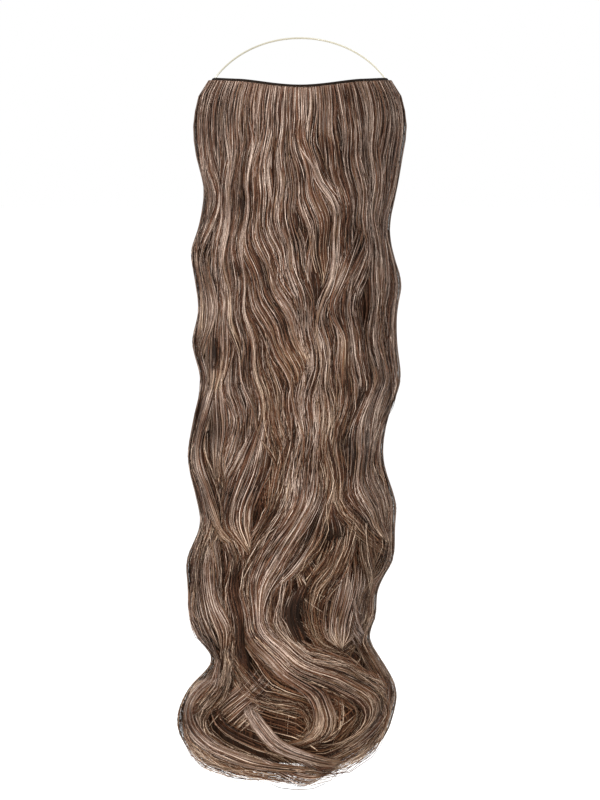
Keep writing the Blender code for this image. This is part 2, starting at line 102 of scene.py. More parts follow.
# Main locks, as in the CAD model: width is a share of HAIR_HALF_WIDTH, ride and thick
# are shares of the wall, and the route gives places across and down. Tint picks the
# mix of colours.
Lock = namedtuple("Lock", "name width ride thick tint route")
LOCKS = (
    Lock("left edge", 0.17, 0.00, 0.26, "ash", (
        (-0.84, 0.00), (-0.91, 0.06), (-0.85, 0.15), (-0.92, 0.25), (-0.86, 0.32),
        (-0.90, 0.37), (-0.86, 0.42))),
    Lock("left second", 0.14, 0.12, 0.20, "brown", (
        (-0.69, 0.00), (-0.73, 0.08), (-0.73, 0.16), (-0.78, 0.24), (-0.73, 0.31),
        (-0.78, 0.38), (-0.87, 0.45), (-0.96, 0.53), (-0.92, 0.59), (-0.80, 0.64),
        (-0.61, 0.67))),
    Lock("left third", 0.15, 0.08, 0.22, "brown", (
        (-0.56, 0.00), (-0.60, 0.12), (-0.68, 0.24), (-0.65, 0.38), (-0.58, 0.47),
        (-0.61, 0.52), (-0.74, 0.57), (-0.80, 0.62), (-0.82, 0.67), (-0.80, 0.72),
        (-0.71, 0.77), (-0.65, 0.82), (-0.74, 0.86), (-0.91, 0.89), (-0.93, 0.92),
        (-0.74, 0.95), (-0.38, 0.97), (0.04, 0.98), (0.38, 0.98))),
    Lock("left fourth", 0.15, 0.04, 0.24, "brown", (
        (-0.42, 0.00), (-0.46, 0.10), (-0.52, 0.22), (-0.48, 0.34), (-0.39, 0.47),
        (-0.42, 0.53), (-0.59, 0.59), (-0.62, 0.64), (-0.56, 0.68), (-0.61, 0.74),
        (-0.63, 0.79), (-0.54, 0.84), (-0.28, 0.87), (0.02, 0.88), (0.14, 0.91),
        (0.00, 0.93))),
    Lock("diagonal", 0.15, 0.06, 0.22, "brown", (
        (-0.35, 0.00), (-0.40, 0.10), (-0.43, 0.20), (-0.46, 0.28), (-0.33, 0.37),
        (-0.20, 0.47), (-0.15, 0.54), (-0.24, 0.60), (-0.40, 0.65))),
    Lock("swept left", 0.15, 0.02, 0.25, "red", (
        (-0.28, 0.00), (-0.33, 0.10), (-0.34, 0.18), (-0.24, 0.25), (-0.09, 0.35),
        (-0.02, 0.43), (-0.04, 0.52), (-0.14, 0.59), (-0.36, 0.65), (-0.48, 0.70),
        (-0.45, 0.76), (-0.28, 0.80), (0.00, 0.83), (0.30, 0.85), (0.50, 0.87),
        (0.54, 0.90), (0.38, 0.93))),
    Lock("swept right", 0.17, 0.00, 0.25, "brown", (
        (-0.15, 0.00), (-0.15, 0.10), (-0.12, 0.20), (0.02, 0.29), (0.11, 0.38),
        (0.06, 0.46), (0.05, 0.55), (-0.04, 0.62), (-0.19, 0.68), (-0.25, 0.73),
        (-0.19, 0.78), (0.03, 0.81), (0.38, 0.83), (0.68, 0.86), (0.80, 0.89),
        (0.72, 0.93), (0.43, 0.96), (0.10, 0.97), (-0.16, 0.95), (-0.36, 0.93))),
    Lock("middle", 0.13, 0.10, 0.20, "brown", (
        (0.00, 0.00), (0.01, 0.08), (0.03, 0.14), (0.10, 0.20), (0.08, 0.29),
        (0.17, 0.35), (0.19, 0.43), (0.17, 0.50), (0.16, 0.57), (0.08, 0.63),
        (-0.12, 0.67), (-0.28, 0.70))),
    Lock("crossing", 0.10, 0.00, 0.22, "gold", (
        (0.10, 0.00), (0.06, 0.07), (0.16, 0.12), (0.30, 0.16), (0.35, 0.21),
        (0.29, 0.26), (0.19, 0.31), (0.22, 0.37), (0.26, 0.44), (0.25, 0.51),
        (0.27, 0.58), (0.18, 0.64), (-0.01, 0.68), (-0.14, 0.71))),
    Lock("right curl", 0.13, 0.00, 0.25, "gold", (
        (0.24, 0.00), (0.26, 0.07), (0.34, 0.13), (0.40, 0.21), (0.35, 0.29),
        (0.37, 0.38), (0.41, 0.42), (0.34, 0.48), (0.32, 0.53), (0.38, 0.59),
        (0.54, 0.63), (0.74, 0.66), (0.82, 0.69), (0.73, 0.71))),
    Lock("right inner", 0.17, 0.09, 0.22, "brown", (
        (0.42, 0.00), (0.49, 0.07), (0.51, 0.14), (0.56, 0.22), (0.45, 0.29),
        (0.43, 0.34), (0.52, 0.41), (0.49, 0.47), (0.42, 0.53), (0.42, 0.61),
        (0.32, 0.68), (0.15, 0.72), (0.11, 0.76), (0.22, 0.79), (0.42, 0.81))),
    Lock("right second", 0.15, 0.06, 0.22, "ash", (
        (0.60, 0.00), (0.66, 0.07), (0.65, 0.15), (0.66, 0.22), (0.71, 0.28),
        (0.67, 0.35), (0.75, 0.43), (0.64, 0.48), (0.53, 0.53), (0.60, 0.61),
        (0.64, 0.68), (0.63, 0.75), (0.52, 0.79), (0.36, 0.81))),
    Lock("right edge", 0.17, 0.00, 0.26, "ash", (
        (0.84, 0.00), (0.91, 0.05), (0.92, 0.09), (0.81, 0.18), (0.80, 0.23),
        (0.87, 0.28), (0.83, 0.35), (0.89, 0.42), (0.74, 0.48), (0.67, 0.54),
        (0.78, 0.61), (0.76, 0.65), (0.63, 0.68))),
    Lock("lower right", 0.15, 0.04, 0.22, "brown", (
        (0.46, 0.73), (0.57, 0.79), (0.74, 0.82), (0.82, 0.86), (0.79, 0.90),
        (0.63, 0.94), (0.42, 0.96))),
    Lock("lower left", 0.16, 0.02, 0.25, "brown", (
        (-0.82, 0.58), (-0.90, 0.64), (-0.99, 0.70), (-0.99, 0.75), (-0.88, 0.79),
        (-0.73, 0.82), (-0.80, 0.85), (-0.98, 0.88), (-1.05, 0.91), (-0.98, 0.94),
        (-0.76, 0.958), (-0.44, 0.970), (-0.10, 0.978))),
)

# Locks on the flanks, as in the CAD model.
Flank = namedtuple("Flank", "turn_deg length phase tint")
FLANKS = (
    Flank(-88, 0.86, 0.10, "brown"),
    Flank(-76, 0.93, 0.35, "ash"),
    Flank(-64, 0.80, 0.55, "brown"),
    Flank(64, 0.78, 0.30, "ash"),
    Flank(76, 0.91, 0.05, "brown"),
    Flank(88, 0.84, 0.75, "ash"),
)

# Thin locks that lie on the main ones: pale and ash streaks, and a dark one laid in a hollow as
# painted shade.
# Width is half the streak's, as a share of HAIR_HALF_WIDTH, and ride a share of the wall.
Streak = namedtuple("Streak", "width strands ride tint route")
STREAKS = (
    Streak(0.016, 16, -0.04, "pale", (
        (0.00, 0.02), (0.00, 0.08), (0.14, 0.12), (0.26, 0.15), (0.31, 0.18),
        (0.33, 0.22), (0.30, 0.26), (0.21, 0.30), (0.16, 0.35), (0.20, 0.40), (0.27, 0.47))),
    Streak(0.020, 9, -0.05, "pale", (
        (-0.49, 0.03), (-0.45, 0.09), (-0.50, 0.17), (-0.53, 0.23), (-0.52, 0.30),
        (-0.45, 0.36), (-0.35, 0.45), (-0.26, 0.52))),
    Streak(0.020, 8, -0.04, "pale", (
        (-0.68, 0.02), (-0.67, 0.09), (-0.66, 0.16), (-0.71, 0.23), (-0.67, 0.30),
        (-0.58, 0.37), (-0.47, 0.45))),
    Streak(0.034, 40, 0.06, "dark", (
        (-0.04, 0.17), (-0.03, 0.19), (-0.07, 0.21), (-0.08, 0.23))),
    Streak(0.026, 12, -0.05, "ash", (
        (-0.73, 0.30), (-0.61, 0.37), (-0.47, 0.45), (-0.35, 0.50), (-0.19, 0.55))),
    Streak(0.026, 10, -0.05, "ash", (
        (-0.37, 0.33), (-0.14, 0.40), (0.00, 0.48), (0.06, 0.55))),
)

# Broad locks, as sheets of strands that fill the space between two borders. Depth is
# how far in the middle of the sheet lies, as a share of the wall, and both borders give
# places across and down.
Sheet = namedtuple("Sheet", "strands tint depth left right")
SHEETS = (
    # Painted shade: this sheet takes the deep tint for the shaded diagonal high in the middle.
    Sheet(260, "deep", 0.03, (
        (-0.12, 0.02), (-0.11, 0.07), (-0.09, 0.11), (-0.04, 0.16), (0.04, 0.21),
        (0.13, 0.27), (0.17, 0.33)), (
        (0.10, 0.02), (0.10, 0.07), (0.16, 0.11), (0.26, 0.15), (0.31, 0.19),
        (0.29, 0.23), (0.21, 0.29))),
    Sheet(200, "ash", 0.02, (
        (-0.96, 0.27), (-0.93, 0.30), (-0.92, 0.33), (-0.94, 0.36), (-0.95, 0.39),
        (-0.93, 0.42), (-0.95, 0.46)), (
        (-0.66, 0.27), (-0.62, 0.30), (-0.60, 0.33), (-0.60, 0.36), (-0.64, 0.39),
        (-0.68, 0.42), (-0.74, 0.46))),
    Sheet(200, "brown", 0.20, (
        (-0.46, 0.82), (-0.59, 0.844), (-0.74, 0.864), (-0.87, 0.884)), (
        (-0.14, 0.855), (-0.26, 0.877), (-0.42, 0.901), (-0.57, 0.923))),
    Sheet(150, "red", 0.04, (
        (-0.58, 0.671), (-0.59, 0.713), (-0.57, 0.75), (-0.50, 0.784), (-0.35, 0.816),
        (-0.15, 0.841), (0.02, 0.864), (0.13, 0.887), (0.13, 0.909), (0.02, 0.926),
        (-0.15, 0.932)), (
        (-0.46, 0.672), (-0.50, 0.706), (-0.46, 0.748), (-0.37, 0.782), (-0.19, 0.813),
        (0.06, 0.841), (0.24, 0.861), (0.33, 0.884), (0.33, 0.906), (0.24, 0.929),
        (0.06, 0.943))),
    Sheet(150, "brown", 0.08, (
        (0.46, 0.793), (0.63, 0.813), (0.72, 0.838), (0.76, 0.867), (0.72, 0.892),
        (0.61, 0.916), (0.44, 0.935), (0.28, 0.943)), (
        (0.61, 0.784), (0.78, 0.807), (0.86, 0.834), (0.90, 0.862), (0.87, 0.892),
        (0.76, 0.921), (0.57, 0.943), (0.37, 0.957))),
    Sheet(150, "ash", 0.06, (
        (0.37, 0.678), (0.28, 0.706), (0.20, 0.735), (0.18, 0.759), (0.24, 0.78),
        (0.33, 0.794), (0.42, 0.806)), (
        (0.70, 0.678), (0.71, 0.706), (0.72, 0.732), (0.69, 0.756), (0.61, 0.776),
        (0.48, 0.789), (0.37, 0.799))),
    Sheet(300, "brown", -0.05, (
        (-0.16, 0.487), (-0.09, 0.542), (-0.14, 0.579), (-0.26, 0.611), (-0.39, 0.643),
        (-0.46, 0.672), (-0.50, 0.706), (-0.48, 0.745), (-0.41, 0.779), (-0.24, 0.81),
        (0.02, 0.838), (0.31, 0.858), (0.52, 0.878), (0.57, 0.901), (0.48, 0.923),
        (0.28, 0.935), (0.07, 0.935)), (
        (0.31, 0.487), (0.32, 0.542), (0.31, 0.586), (0.23, 0.628), (0.12, 0.657),
        (-0.03, 0.685), (-0.22, 0.713), (-0.29, 0.739), (-0.23, 0.767), (-0.07, 0.791),
        (0.17, 0.813), (0.44, 0.827), (0.66, 0.844), (0.78, 0.867), (0.80, 0.892),
        (0.67, 0.921), (0.46, 0.94))),
    Sheet(190, "brown", 0.01, (
        (-0.44, 0.444), (-0.46, 0.487), (-0.61, 0.53), (-0.77, 0.566), (-0.80, 0.596),
        (-0.75, 0.628), (-0.59, 0.654), (-0.46, 0.671)), (
        (-0.23, 0.444), (-0.26, 0.487), (-0.31, 0.529), (-0.35, 0.566), (-0.41, 0.596),
        (-0.45, 0.626), (-0.46, 0.65), (-0.43, 0.671))),
    Sheet(130, "red", 0.00, (
        (-0.93, 0.643), (-1.04, 0.678), (-1.05, 0.721), (-1.04, 0.753), (-0.99, 0.773),
        (-0.88, 0.796), (-0.76, 0.813)), (
        (-0.72, 0.643), (-0.80, 0.678), (-0.78, 0.716), (-0.70, 0.748), (-0.64, 0.776),
        (-0.64, 0.799), (-0.67, 0.818))),
    Sheet(130, "ash", -0.03, (
        (-0.89, 0.413), (-0.93, 0.444), (-1.01, 0.488), (-1.04, 0.53), (-1.01, 0.557),
        (-0.94, 0.587), (-0.85, 0.624), (-0.69, 0.651), (-0.55, 0.665)), (
        (-0.72, 0.413), (-0.78, 0.444), (-0.85, 0.479), (-0.91, 0.509), (-0.90, 0.536),
        (-0.83, 0.565), (-0.78, 0.593), (-0.70, 0.626), (-0.56, 0.654))),
    Sheet(110, "ash", -0.02, (
        (-0.99, 0.231), (-1.00, 0.262), (-0.95, 0.291), (-0.94, 0.319), (-0.95, 0.352),
        (-0.99, 0.376), (-0.98, 0.399), (-0.90, 0.421)), (
        (-0.79, 0.231), (-0.80, 0.262), (-0.77, 0.288), (-0.74, 0.316), (-0.77, 0.339),
        (-0.83, 0.362), (-0.88, 0.384), (-0.89, 0.404))),
    Sheet(250, "red", -0.01, (
        (-0.59, 0.16), (-0.62, 0.217), (-0.59, 0.267), (-0.51, 0.316), (-0.39, 0.359),
        (-0.25, 0.399), (-0.15, 0.437), (-0.09, 0.479)), (
        (-0.35, 0.16), (-0.30, 0.20), (-0.19, 0.238), (-0.06, 0.274), (0.03, 0.302),
        (0.10, 0.33), (0.15, 0.359), (0.17, 0.39))),
    Sheet(150, "brown", 0.00, (
        (0.48, 0.182), (0.42, 0.213), (0.31, 0.248), (0.25, 0.281), (0.24, 0.306),
        (0.29, 0.333), (0.35, 0.359), (0.37, 0.394), (0.35, 0.437), (0.31, 0.479)), (
        (0.72, 0.182), (0.69, 0.213), (0.59, 0.248), (0.48, 0.281), (0.41, 0.302),
        (0.41, 0.328), (0.46, 0.356), (0.49, 0.387), (0.46, 0.423), (0.41, 0.461))),
    Sheet(260, "brown", 0.00, (
        (0.48, 0.373), (0.54, 0.416), (0.50, 0.447), (0.42, 0.479), (0.37, 0.515),
        (0.34, 0.55), (0.37, 0.586), (0.49, 0.611), (0.63, 0.631), (0.78, 0.647),
        (0.83, 0.665)), (
        (0.91, 0.373), (0.92, 0.413), (0.85, 0.447), (0.79, 0.487), (0.77, 0.522),
        (0.81, 0.557), (0.88, 0.589), (0.91, 0.614), (0.90, 0.635), (0.86, 0.657),
        (0.85, 0.671))),
    Sheet(200, "ash", -0.02, (
        (-0.72, 0.82), (-0.93, 0.841), (-1.08, 0.87), (-1.13, 0.901), (-1.08, 0.929),
        (-0.91, 0.95), (-0.63, 0.966), (-0.28, 0.974), (0.05, 0.974), (0.40, 0.97)), (
        (-0.63, 0.82), (-0.72, 0.844), (-0.90, 0.865), (-0.98, 0.887), (-0.95, 0.909),
        (-0.80, 0.932), (-0.52, 0.95), (-0.19, 0.962), (0.11, 0.966), (0.40, 0.962))),
    Sheet(100, "pale", -0.05, (
        (-0.54, 0.87), (-0.48, 0.904), (-0.37, 0.928), (-0.17, 0.949), (0.06, 0.962),
        (0.28, 0.969), (0.42, 0.97)), (
        (-0.43, 0.87), (-0.35, 0.898), (-0.22, 0.921), (-0.02, 0.939), (0.17, 0.95),
        (0.33, 0.956), (0.43, 0.957))),
    Sheet(140, "brown", 0.02, (
        (-0.86, 0.42), (-0.87, 0.46), (-0.86, 0.50), (-0.82, 0.54), (-0.78, 0.59)), (
        (-0.66, 0.42), (-0.64, 0.46), (-0.66, 0.50), (-0.68, 0.54), (-0.68, 0.59))),
    Sheet(44, "gold", 0.05, (
        (-0.45, 0.955), (-0.25, 0.974), (-0.12, 0.988), (0.02, 0.995), (0.18, 0.989)), (
        (-0.35, 0.95), (-0.15, 0.965), (0.0, 0.972), (0.20, 0.975), (0.38, 0.972))),
    Sheet(50, "gold", 0.03, (
        (-0.10, 0.955), (0.06, 0.970), (0.22, 0.978), (0.38, 0.977)), (
        (0.02, 0.95), (0.16, 0.958), (0.28, 0.962), (0.42, 0.963))),
    # The sheets from here on, of the dark tint, are painted shade: dark strands laid in hollows
    # between the locks.
    Sheet(110, "dark", 0.05, (
        (0.287, 0.582), (0.26, 0.607), (0.23, 0.628), (0.20, 0.65)), (
        (0.315, 0.582), (0.39, 0.603), (0.454, 0.62), (0.48, 0.643))),
    Sheet(60, "dark", -0.04, (
        (-0.63, 0.671), (-0.667, 0.713), (-0.639, 0.756), (-0.583, 0.80), (-0.556, 0.841)), (
        (-0.574, 0.671), (-0.556, 0.713), (-0.528, 0.756), (-0.49, 0.80), (-0.463, 0.841))),
    Sheet(70, "dark", -0.06, (
        (-0.093, 0.713), (-0.148, 0.742), (-0.139, 0.77), (-0.065, 0.796)), (
        (0.093, 0.70), (0.019, 0.728), (0.0, 0.759), (0.056, 0.787))),
    Sheet(44, "dark", -0.05, (
        (-0.815, 0.352), (-0.833, 0.38), (-0.87, 0.41)), (
        (-0.75, 0.352), (-0.74, 0.38), (-0.78, 0.41))),
    Sheet(60, "dark", 0.04, (
        (0.10, 0.255), (0.083, 0.288), (0.12, 0.322)), (
        (0.167, 0.255), (0.20, 0.288), (0.157, 0.325))),
    Sheet(44, "dark", 0.04, (
        (0.26, 0.486), (0.278, 0.529), (0.287, 0.575)), (
        (0.296, 0.486), (0.324, 0.529), (0.333, 0.575))),
)

# Where a tint lies on the colour ramp: its centre and spread, and its shares of pale and
# of dark strands.
TINTS = {
    # The dark and deep tints are painted shade: dark strands laid in hollows and in deeper layers.
    "dark": (0.16, 0.07, 0.04, 0.30),
    "deep": (0.30, 0.12, 0.18, 0.24),
    "brown": (0.38, 0.15, 0.32, 0.24),
    "red": (0.42, 0.11, 0.29, 0.24),
    "gold": (0.50, 0.13, 0.32, 0.22),
    "ash": (0.55, 0.16, 0.35, 0.22),
    "pale": (0.68, 0.14, 0.42, 0.14),
}
PALE_FROM = 0.80
DARKS = (0.06, 0.20)
PALE_SLENDER = 0.85

# Layers of strands that go round the head: between which depths they lie, as shares of
# the wall, how far down they reach and how much they sway.
Layer = namedtuple("Layer", "strands shallow deep tint end sway_deg")
# The under layer takes the dark tint as painted shade for the hair that lies deeper.
UNDER_LAYER = Layer(420, 0.46, 0.58, "dark", 0.955, 2.3)
INNER_LAYER = Layer(720, 0.92, 1.04, "brown", 0.985, 1.7)

# Layers along the two open edges, each with the turn in degrees at which it starts.
EDGE_LAYERS = (
    (68, Layer(120, 0.05, 0.30, "brown", 0.975, 1.0)),
    (82, Layer(60, -0.06, 0.06, "ash", 0.975, 0.9)),
    (88, Layer(120, 0.0, 1.0, "brown", 0.96, 0.4)),
)

# Walls behind the strands, near black as painted shade in the gaps between them: how deep they lie
# and how far down they reach.
SHELLS = (("outer", 0.62, 0.962), ("inner", 0.92, 0.92))

# Pairs of locks with a fan of strands between them, besides all neighbours at the band.
MORE_FANS = (
    ("left third", "left fourth"), ("left fourth", "swept left"), ("swept left", "swept right"),
    ("swept right", "right inner"), ("lower left", "left third"),
)

# How many strands, clumps of them and stations along them each kind of piece has.
LOCK_MESHES = 4
SHEET_MESHES = 2
LOCK_STRANDS = 40
LOCK_STRANDS_FOR_WIDTH = 1050
FLANK_STRANDS = 190
FAN_STRANDS = 85
MORE_FAN_STRANDS = 70
LOCK_CLUMPS = 14
SHEET_CLUMPS = 17
FEWEST_STATIONS = 8
FAN_STATIONS = 48
LAYER_STATIONS = 46
ROUTE_STEPS = 12

# Where the strands run, and how their tone follows it. The crest, depth, sheen and hollow tones are
# painted light and shade.
FAN_DEPTHS = (0.28, 0.55)
MORE_FAN_DEPTHS = (0.24, 0.50)
FLANK_SWAY_FROM = 0.2
LAYER_WAVES = ((0.15, 1.0), (0.06, 0.35))  # each one's length and its share of the sway
WAVER_LENGTHS = (0.026, 0.045, 0.11)
WAVER_AT_ROOT = 0.00030
WAVER_GROWTH = 0.0009
LOCK_RAGGED = 0.35
SHEET_RAGGED = 0.22
ROOT_DEPTH = 0.55
ROOT_RISE = 0.020
ROOT_BLEND = 0.13
STRAND_WIDTH = 0.00050
STRAND_SEGMENT = 0.0100
CREST_LENGTH = 0.062
RIPPLE_LENGTH = 0.056
RIPPLE_SHARE = 0.018
CREST_DEPTH = 0.05
CREST_LIGHT_AND_SHADE = 0.08
MIDDLE_TONE = 0.40
FADE_SHARE = 0.50
DEPTH_PAINTED_SHADE = 0.55
LOCK_DEPTH_SHADE_SHARE = 0.2
PAINTED_SHEEN_TONE = 0.09
HOLLOW_PAINTED_SHADE = 0.085
LOWER_TONE = 0.022
TONE_JITTER = 0.09
SHEET_CROWN = 0.20
SHEET_DIP = 0.30
TONE_HALF_COLUMN = 0.003

# Stitches on the inside of the band.
STITCH_ROWS = (0.0030, 0.0070, 0.0110)
STITCH_LENGTH = 0.0024
STITCH_PITCH = 0.0033
STITCH_RADIUS = 0.00022
STITCH_MARGIN = 0.002
STITCH_STAGGER = 0.3
STITCH_SLANT = 0.0002

# Camera: behind the wearer, a little above, with a long lens.
IMAGE_HEIGHT_M = 0.674
IMAGE_CENTRE_DOWN = 0.2655
CAMERA_DISTANCE = 7.0
CAMERA_ELEVATION = math.radians(3.75)
SENSOR_MM = 36.0


def smooth_step(share):
    share = np.clip(share, 0.0, 1.0)
    return share * share * (3.0 - 2.0 * share)


def outline(down):
    """Half widths of the hair on its left and its right, in metres."""
    down = np.clip(down, 0.0, 1.0)
    last = len(SECTIONS) - 1
    low = np.minimum(np.searchsorted(SECTIONS[1:, 0], down), last - 1)
    before, high, after = np.maximum(low - 1, 0), low + 1, np.minimum(low + 2, last)
    places = SECTIONS[:, 0]
    span = places[high] - places[low]
    share = (down - places[low]) / span
    at_root = BAND_HALF_WIDTH + ROW_GAP + HAIR_ROOT_WALL
    clear = smooth_step(down * HAIR_LENGTH / BAND_HEIGHT)
    sides = []
    for side in (1, 2):
        value = SECTIONS[:, side]
        leaving = (value[high] - value[before]) / (places[high] - places[before]) * span
        arriving = (value[after] - value[low]) / (places[after] - places[low]) * span
        smooth = (
            (2 * share**3 - 3 * share**2 + 1) * value[low]
            + (share**3 - 2 * share**2 + share) * leaving
            + (3 * share**2 - 2 * share**3) * value[high]
            + (share**3 - share**2) * arriving
        )
        sides.append(at_root + (smooth * HAIR_HALF_WIDTH - at_root) * clear)
    return sides


def wall(down):
    grown = smooth_step(down * HAIR_LENGTH / HAIR_FLUFF_LENGTH)
    return HAIR_ROOT_WALL + (HAIR_WALL - HAIR_ROOT_WALL) * grown


def band_edge_height(turn):
    share = np.abs(turn) / (math.pi / 2)
    risen = smooth_step(np.abs(turn) / BAND_LIFT_TURN)
    return BAND_LIFT * risen - BAND_END_DROP * share**BAND_END_POWER


def hair_point(turn, down, inset):
    """Points of the hair at these turns round the head, this far in from the face."""
    left, right = outline(down)
    half_width = np.where(turn < 0, left, right)
    front = BAND_DEPTH + ROW_GAP + wall(down) - HAIR_TUCK * down
    rear = -HAIR_REAR_DRIFT * smooth_step(down)
    fade = 1.0 - smooth_step(down * HAIR_LENGTH / HAIR_LIFT_FADE)
    height = band_edge_height(turn) * fade - HAIR_ROOT_BELOW_EDGE - down * HAIR_LENGTH
    return np.stack((
        (half_width - inset) * np.sin(turn),
        rear - (front + rear - inset) * np.cos(turn),
        height + 0.0 * inset,
    ), axis=-1)


def hair_turn(across, down, inset):
    """The turn round the head at which a view from behind sees this place."""
    left, right = outline(down)
    half_width = np.where(across < 0, left, right) - inset
    share = across * HAIR_HALF_WIDTH / half_width
    return np.arcsin(np.clip(share, -EDGE_SHARE, EDGE_SHARE))


def rooted_inset(depth, down):
    """How far in a strand lies: at the band's face where it is sewn, then at its depth."""
    rooted = 1.0 - smooth_step(down / ROOT_RISE)
    return (depth + (ROOT_DEPTH - depth) * rooted) * wall(down)


def unit(vectors):
    return vectors / np.maximum(np.linalg.norm(vectors, axis=-1, keepdims=True), 1e-12)


def curve_through(points, shares):
    """Places at these shares of the way along a smooth curve through the points."""
    points = np.array(points)
    last = len(points) - 1
    where = np.clip(shares, 0.0, 1.0) * last
    low = np.minimum(where.astype(int), last - 1)
    t = (where - low)[..., None]
    p0, p1 = points[np.maximum(low - 1, 0)], points[low]
    p2, p3 = points[low + 1], points[np.minimum(low + 2, last)]
    bend = 2 * p0 - 5 * p1 + 4 * p2 - p3
    turn = 3 * p1 - p0 - 3 * p2 + p3
    return 0.5 * (2 * p1 + (p2 - p0) * t + bend * t**2 + turn * t**3)


def smooth_route(route):
    """The route's places across and down, spaced evenly along it, and its length."""
    fine = curve_through(route, np.linspace(0.0, 1.0, ROUTE_STEPS * (len(route) - 1) + 1))
    scale = np.array((HAIR_HALF_WIDTH, HAIR_LENGTH))
    steps = np.linalg.norm(np.diff(fine, axis=0) * scale, axis=1)
    gone = np.concatenate(([0.0], np.cumsum(steps)))
    count = max(int(gone[-1] / STRAND_SEGMENT), FEWEST_STATIONS)
    want = np.linspace(0.0, gone[-1], count + 1)
    return np.interp(want, gone, fine[:, 0]), np.interp(want, gone, fine[:, 1]), gone[-1]


def crest(across, down):
    """The slow rise and fall of the hair along its length, from -1 to 1."""
    return np.sin(2 * math.pi * (down * HAIR_LENGTH / CREST_LENGTH + 0.45 * across)) * (
        smooth_step(down / 0.15))


def painted_sheen(points):
    """Painted sheen: where the hair is painted paler or darker as if it shone more or less, in
    patches about a lock wide, from -1 to 1.
    """
    across, down = points[..., 0] / HAIR_HALF_WIDTH, -points[..., 2] / HAIR_LENGTH
    broad = np.sin(2 * math.pi * (2.9 * down + 0.9 * across + 0.2))
    return broad * np.sin(2 * math.pi * (6.3 * down - 1.3 * across))


def hollow_shade_and_waist_tone(points):
    """Painted shade between the locks high in the middle, and a little paler from the waist."""
    across, down = points[..., 0] / HAIR_HALF_WIDTH, -points[..., 2] / HAIR_LENGTH
    hollow = np.exp(-((down - 0.27) / 0.12) ** 2 - (across / 0.5) ** 2)
    return LOWER_TONE * smooth_step((down - 0.55) / 0.1) - HOLLOW_PAINTED_SHADE * hollow


def rippled(across, down):
    """Places across the hair, moved to and fro by its fine waves but not at its outline."""
    wave = np.sin(2 * math.pi * (down * HAIR_LENGTH / RIPPLE_LENGTH + 1.3 * across))
    free = smooth_step(down / 0.06) * (1.0 - smooth_step((np.abs(across) - 0.7) / 0.2))
    return across + RIPPLE_SHARE * wave * free


def outward(turn):
    return np.stack((np.sin(turn), -np.cos(turn), np.zeros_like(turn)), axis=-1)


def strip_sides(points, turn, tilt):
    """Sideways vectors of strips that face outward, tilted about their own length."""
    out = outward(turn)
    side = unit(np.cross(unit(np.gradient(points, axis=1)), out))
    return unit(side * np.cos(tilt) + out * np.sin(tilt))


def add_piece(name, mesh, surface):
    """A new object with this mesh, which rides on the part's one body."""
    mesh.materials.append(surface)
    made = bpy.data.objects.new(name, mesh)
    bpy.context.scene.collection.objects.link(made)
    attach(made, "root")
    return made


class Strands:
    """Strips gathered for one mesh: their points, faces and tone coordinates."""

    def __init__(self, name):
        self.name = name
        self.points = []
        self.faces = []
        self.uvs = []
        self.count = 0

    def add(self, centres, sideways, widths, tones):
        """Centres and sideways are (strand, station, 3), the others (strand, station)."""
        strands, stations = centres.shape[:2]
        pale = smooth_step((tones - PALE_FROM + 0.10) / 0.10)
        half = sideways * (widths * (1 + (PALE_SLENDER - 1) * pale))[..., None] / 2
        both = np.stack((centres - half, centres + half), axis=2)
        self.points.append(both.reshape(-1, 3))
        first = (np.arange(strands)[:, None] * stations + np.arange(stations - 1)) * 2
        first = first + self.count
        self.faces.append(np.stack(
            (first, first + 1, first + 3, first + 2), axis=-1).reshape(-1, 4))
        along = np.linspace(0.01, 0.99, stations)
        along = np.broadcast_to(along, (strands, stations))
        fade = FADE_SHARE * RANDOM.random((strands, stations)) ** 1.5
        jitter_and_painted_light = RANDOM.normal(0.0, TONE_JITTER, (strands, stations))
        # On top of the random jitter: painted sheen patches and painted shade in the hollow high in
        # the middle.
        jitter_and_painted_light = jitter_and_painted_light + PAINTED_SHEEN_TONE * painted_sheen(centres) + hollow_shade_and_waist_tone(centres)
        tone = np.clip(tones + (MIDDLE_TONE - tones) * fade + jitter_and_painted_light, 0.01, 0.99)
        left = tone - TONE_HALF_COLUMN
        right = tone + TONE_HALF_COLUMN
        grid = np.stack((
            np.stack((left, along), axis=-1), np.stack((right, along), axis=-1)), axis=2)
        corners = np.stack((
            grid[:, :-1, 0], grid[:, :-1, 1], grid[:, 1:, 1], grid[:, 1:, 0]), axis=2)
        self.uvs.append(corners.reshape(-1, 2))
        self.count += strands * stations * 2

    def build(self, surface):
        points = np.vstack(self.points)
        faces = np.vstack(self.faces)
        mesh = bpy.data.meshes.new(self.name)
        mesh.vertices.add(len(points))
        mesh.vertices.foreach_set("co", points.ravel())
        mesh.loops.add(faces.size)
        mesh.loops.foreach_set("vertex_index", faces.ravel())
        mesh.polygons.add(len(faces))
        mesh.polygons.foreach_set("loop_start", np.arange(len(faces)) * 4)
        layer = mesh.uv_layers.new(name="OFBake")
        layer.data.foreach_set("uv", np.vstack(self.uvs).ravel())
        mesh.update()
        mesh.validate()
        mesh.shade_smooth()
        return add_piece(self.name, mesh, surface)


def tones_for(tint, count):
    """Tone coordinates of some strands of one tint, with pale and dark ones mixed in."""
    centre, spread, pale_share, dark_share = TINTS[tint]
    tones = RANDOM.normal(centre, spread, count)
    kind = RANDOM.random(count)
    tones = np.where(kind < pale_share, RANDOM.uniform(PALE_FROM, 1.0, count), tones)
    return np.where(kind > 1 - dark_share, RANDOM.uniform(*DARKS, count), tones)


def lock_frame(turn, down, ride, thick):
    """Centre line of a lock, with its outward and sideways vectors."""
    wave = CREST_DEPTH * crest(np.sin(turn), down)
    centres = hair_point(turn, down, (ride + thick + wave) * wall(down))
    way = unit(np.gradient(centres, axis=0))
    out = outward(turn)
    out = unit(out - way * np.sum(out * way, axis=-1, keepdims=True))
    return centres, out, np.cross(way, out)


